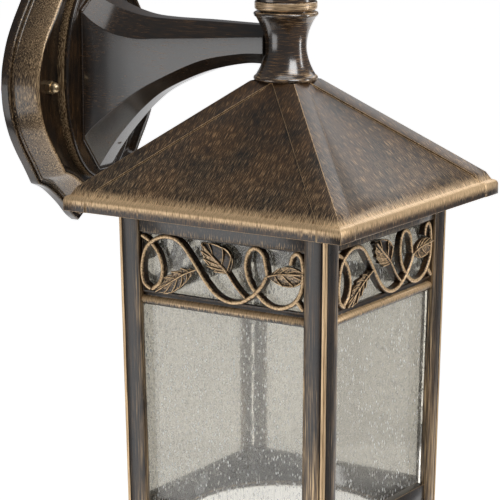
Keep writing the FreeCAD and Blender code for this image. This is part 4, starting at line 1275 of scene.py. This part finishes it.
# The outline's upper right quarter comes first, from its side to its tip.
quarter = smooth_line(list(reversed(BELLY)), 4) + smooth_line(COVE, 5)[1:]
outline = list(quarter)
outline += [(-x, z) for x, z in reversed(quarter[:-1])]
outline += [(-x, -z) for x, z in quarter[1:]]
outline += [(x, -z) for x, z in reversed(quarter[1:-1])]
print("plate outline", len(outline), "points")


def plate_ring(inset, shrink, out):
    """The outline drawn in by an inset and set out from the wall."""
    wide = PLATE_WIDE / 2 - inset * MM
    tall = PLATE_TALL / 2 - inset * shrink * MM
    return [Vector((x * wide, -out * MM, PLATE_MIDDLE + z * tall)) for x, z in outline]


def oval_ring(inset, out):
    """A ring of the oval with one point for each point of the outline."""
    ring = []
    for x, z in outline:
        angle = math.atan2(z * PLATE_TALL, x * PLATE_WIDE)
        across = math.cos(angle) * (OVAL_WIDE - inset * MM)
        height = math.sin(angle) * (OVAL_TALL - inset * MM)
        ring.append(Vector((across, -out * MM, PLATE_MIDDLE + OVAL_LIFT + height)))
    return ring


def rounded(inset, out, across, over, count=4):
    """(inset, out) steps round a quarter turn, growing inwards and outwards."""
    steps = []
    for step in range(count + 1):
        angle = math.pi / 2 * step / count
        steps.append((inset + across * (1 - math.cos(angle)), out + over * math.sin(angle)))
    return steps


OUTER = [(0, 1, 0)]
OUTER += [(inset, 1, out) for inset, out in rounded(0, 4.6, 1.2, 1.4)]
OUTER += [(1.7, 1.2, 5.3), (2.3, 1.3, 5.3), (2.5, 1.35, 6.2), (2.7, 1.38, 7.0), (3.1, 1.45, 7.4)]
OUTER += [(3.4, 1.5, 7.5), (5.2, 1.9, 21.8)]
OUTER += [(inset, 2, out) for inset, out in rounded(5.4, 22.4, 1.6, 1.6)]
OUTER += [(7.6, 2, 23.6), (8.2, 2, 22.8), (8.7, 2, 20.2), (9.4, 2, 19.2), (11, 2, 19)]
rings = [plate_ring(*step) for step in OUTER]
rings += [oval_ring(inset, out) for inset, out in ((-1.5, 19), (-1.3, 19.6), (-0.6, 23.4))]
rings += [oval_ring(inset, out) for inset, out in rounded(-0.4, 24.6, 1.8, 1.8)]
rings += [oval_ring(8, 26.4), oval_ring(20, 26.4)]
back = [plate_ring(0, 1, 0), plate_ring(8.4, 2, 0), plate_ring(8.4, 2, 16), plate_ring(30, 1.6, 16)]
front_face = grown("plate_front", rings, caps=False)
back_face = grown("plate_back", back, caps=False)
for piece, loop_at in ((front_face, -26.4 * MM), (back_face, -16 * MM)):
    mesh = edit(piece, select=False)
    rim = set()
    for rung in mesh.edges:
        if len(rung.link_faces) == 1 and abs(rung.verts[0].co.y - loop_at) < 0.01 * MM:
            rim.update(vert.index for vert in rung.verts)
    pick(mesh, rim)
    bmesh.update_edit_mesh(piece.data)
    bpy.ops.mesh.edge_face_add()
    leave_edit()
plate = join([front_face, back_face], "plate_casting")
heal(plate)


def plate_gold(spot, normal):
    """Gold fades in up the side wall to the front arris, and touches the rim."""
    out = -spot.y / MM
    facing = -normal.y
    if facing > 0.98 or out > 24.3:
        return 0.1 if out > 24.3 and facing < 0.9 else 0.0
    outward = normal.x * spot.x + normal.z * (spot.z - PLATE_MIDDLE) > 0
    if not outward:
        return 0.3 if out > 23.2 else 0.0
    if out > 7.6:
        return 0.12 + 0.5 * ramp(out, 14, 23.4)
    return 0.4 * ramp(out, 2.5, 5.6)


dress(plate, plate_gold, angle=35)
complete(plate, plate_enamel, "wall_plate")

# %% [markdown]
# ## Acorn nuts
# Two brass acorn nuts hold the plate on its studs. A hexagon is grown up, its
# corners are taken off by a wider cone, and a dome closes it.

# %% Acorn nuts
NUT_FLAT = 3.5
NUT_HEX = 3.4
NUT_DOME = 4.4
NUT_POINTS = 48
DOME = NUT_FLAT - 0.35
DOME_STEPS = 9


def hex_radius(angle):
    """How far a hexagon's edge is from its middle in a direction."""
    turn = (angle + math.pi / 6) % (math.pi / 3) - math.pi / 6
    return NUT_FLAT / math.cos(turn)


def nut_ring(limit, out):
    """The hexagon cut down to a radius, which makes a small ring quite round."""
    ring = []
    for step in range(NUT_POINTS):
        angle = 2 * math.pi * step / NUT_POINTS
        radius = min(hex_radius(angle), limit)
        ring.append(Vector((math.cos(angle) * radius, -out, math.sin(angle) * radius)) * MM)
    return ring


nut_steps = [(3.7, 0), (4.05, 0.35), (4.05, NUT_HEX - 0.5), (3.6, NUT_HEX)]
nut_steps += [(DOME + 0.05, NUT_HEX), (DOME, NUT_HEX + 1)]
for step in range(1, DOME_STEPS):
    turn = math.pi / 2 * step / DOME_STEPS
    nut_steps.append((DOME * math.cos(turn), NUT_HEX + 1 + (NUT_DOME - 1) * math.sin(turn)))
nut_steps.append((0.3, NUT_HEX + NUT_DOME))
nut = grown("acorn_nut", [nut_ring(*step) for step in nut_steps])
smooth(nut, 28)
for side in ("left", "right"):
    node = f"cap_nut_{side}"
    low, high = span(node)
    only(nut)
    bpy.ops.object.duplicate(linked=False)
    twin = bpy.context.object
    twin.name = f"acorn_nut_{side}"
    twin.data.transform(Matrix.Translation(Vector(((low.x + high.x) / 2, high.y, (low.z + high.z) / 2))))
    gild(twin)
    complete(twin, brass, node, f"{side}_cap_nut")
only(nut)
bpy.ops.object.delete()

# %% [markdown]
# ## Stage
# A pale floor far below and five soft boxes. Dark glossy enamel shows little of
# itself: what reads as its shape is the soft boxes that it mirrors, so they are
# large, and placed to draw a bright band down each form. The surround is white
# to the camera and through the glass, and dark wherever the enamel mirrors it.

# %% Floor and surround
bpy.ops.object.select_all(action="DESELECT")
bpy.ops.mesh.primitive_plane_add(size=30, location=(14, 14, cad_box[0][2] - 0.9))
floor = bpy.context.object
floor.name = "floor"
pale = Nodes("pale_floor")
pale.give("Base Color", (0.95, 0.95, 0.95, 1))
pale.give("Roughness", 0.9)
pale.give("Emission Color", (1, 1, 1, 1))
pale.give("Emission Strength", 0.85)
floor.data.materials.append(pale.material)

world = bpy.data.worlds.new("surround")
bpy.context.scene.world = world
world.use_nodes = True
tree = world.node_tree
background = tree.nodes["Background"]
path = tree.nodes.new("ShaderNodeLightPath")
seen = tree.nodes.new("ShaderNodeMath")
seen.operation = "MAXIMUM"
tree.links.new(path.outputs["Is Camera Ray"], seen.inputs[0])
tree.links.new(path.outputs["Is Transmission Ray"], seen.inputs[1])
tone = tree.nodes.new("ShaderNodeMix")
tone.data_type = "RGBA"
tone.inputs[6].default_value = (0.16, 0.16, 0.165, 1)
tone.inputs[7].default_value = (1, 1, 1, 1)
tree.links.new(seen.outputs[0], tone.inputs["Factor"])
tree.links.new(tone.outputs[2], background.inputs["Color"])
background.inputs["Strength"].default_value = 1.0

# %% Soft boxes
middle_x, middle_z = ((cad_box[0][axis] + cad_box[1][axis]) / 2 for axis in (0, 2))
lantern_middle = Vector((middle_x, AXIS.y, middle_z))


def soft_box(name, azimuth, rise, distance, size, power):
    """A rectangular area light aimed at the lantern; azimuth 0 is straight in front."""
    bpy.ops.object.select_all(action="DESELECT")
    angle = math.radians(azimuth)
    tilt = math.radians(rise)
    away = Vector((math.sin(angle) * math.cos(tilt), -math.cos(angle) * math.cos(tilt), math.sin(tilt)))
    bpy.ops.object.light_add(type="AREA", location=lantern_middle + away * distance)
    lamp = bpy.context.object
    lamp.name = name
    lamp.rotation_euler = away.to_track_quat("Z", "Y").to_euler()
    lamp.data.shape = "RECTANGLE"
    lamp.data.size = size[0]
    lamp.data.size_y = size[1]
    lamp.data.energy = power
    return lamp


soft_box("left_box", -122, -14, 1.8, (0.9, 1.0), 5)
soft_box("right_high_box", 85, 36, 1.7, (1.0, 0.9), 4)
soft_box("strip_box", 28, 6, 1.6, (0.22, 1.4), 6)
soft_box("front_box", -20, 40, 1.7, (0.9, 0.9), 14)
soft_box("top_box", -60, 82, 1.6, (1.0, 1.0), 5)

# %% Camera
CAMERA_SPOT = Vector((-1.0514, -0.8153, 0.1666))
YAW = math.radians(-57.043)
PITCH = math.radians(11.759)
SENSOR = 36
LENS = 154.73
backward = Vector((math.sin(YAW) * math.cos(PITCH), -math.cos(YAW) * math.cos(PITCH), math.sin(PITCH)))
rightward = Vector((math.cos(YAW), math.sin(YAW), 0))
upward = backward.cross(rightward)
bpy.ops.object.camera_add()
camera = bpy.context.object
camera.matrix_world = Matrix(
    (
        (rightward.x, upward.x, backward.x, CAMERA_SPOT.x),
        (rightward.y, upward.y, backward.y, CAMERA_SPOT.y),
        (rightward.z, upward.z, backward.z, CAMERA_SPOT.z),
        (0, 0, 0, 1),
    )
)
camera.data.sensor_width = SENSOR
camera.data.lens = LENS
bpy.context.scene.camera = camera
bpy.context.scene.view_settings.view_transform = "Standard"
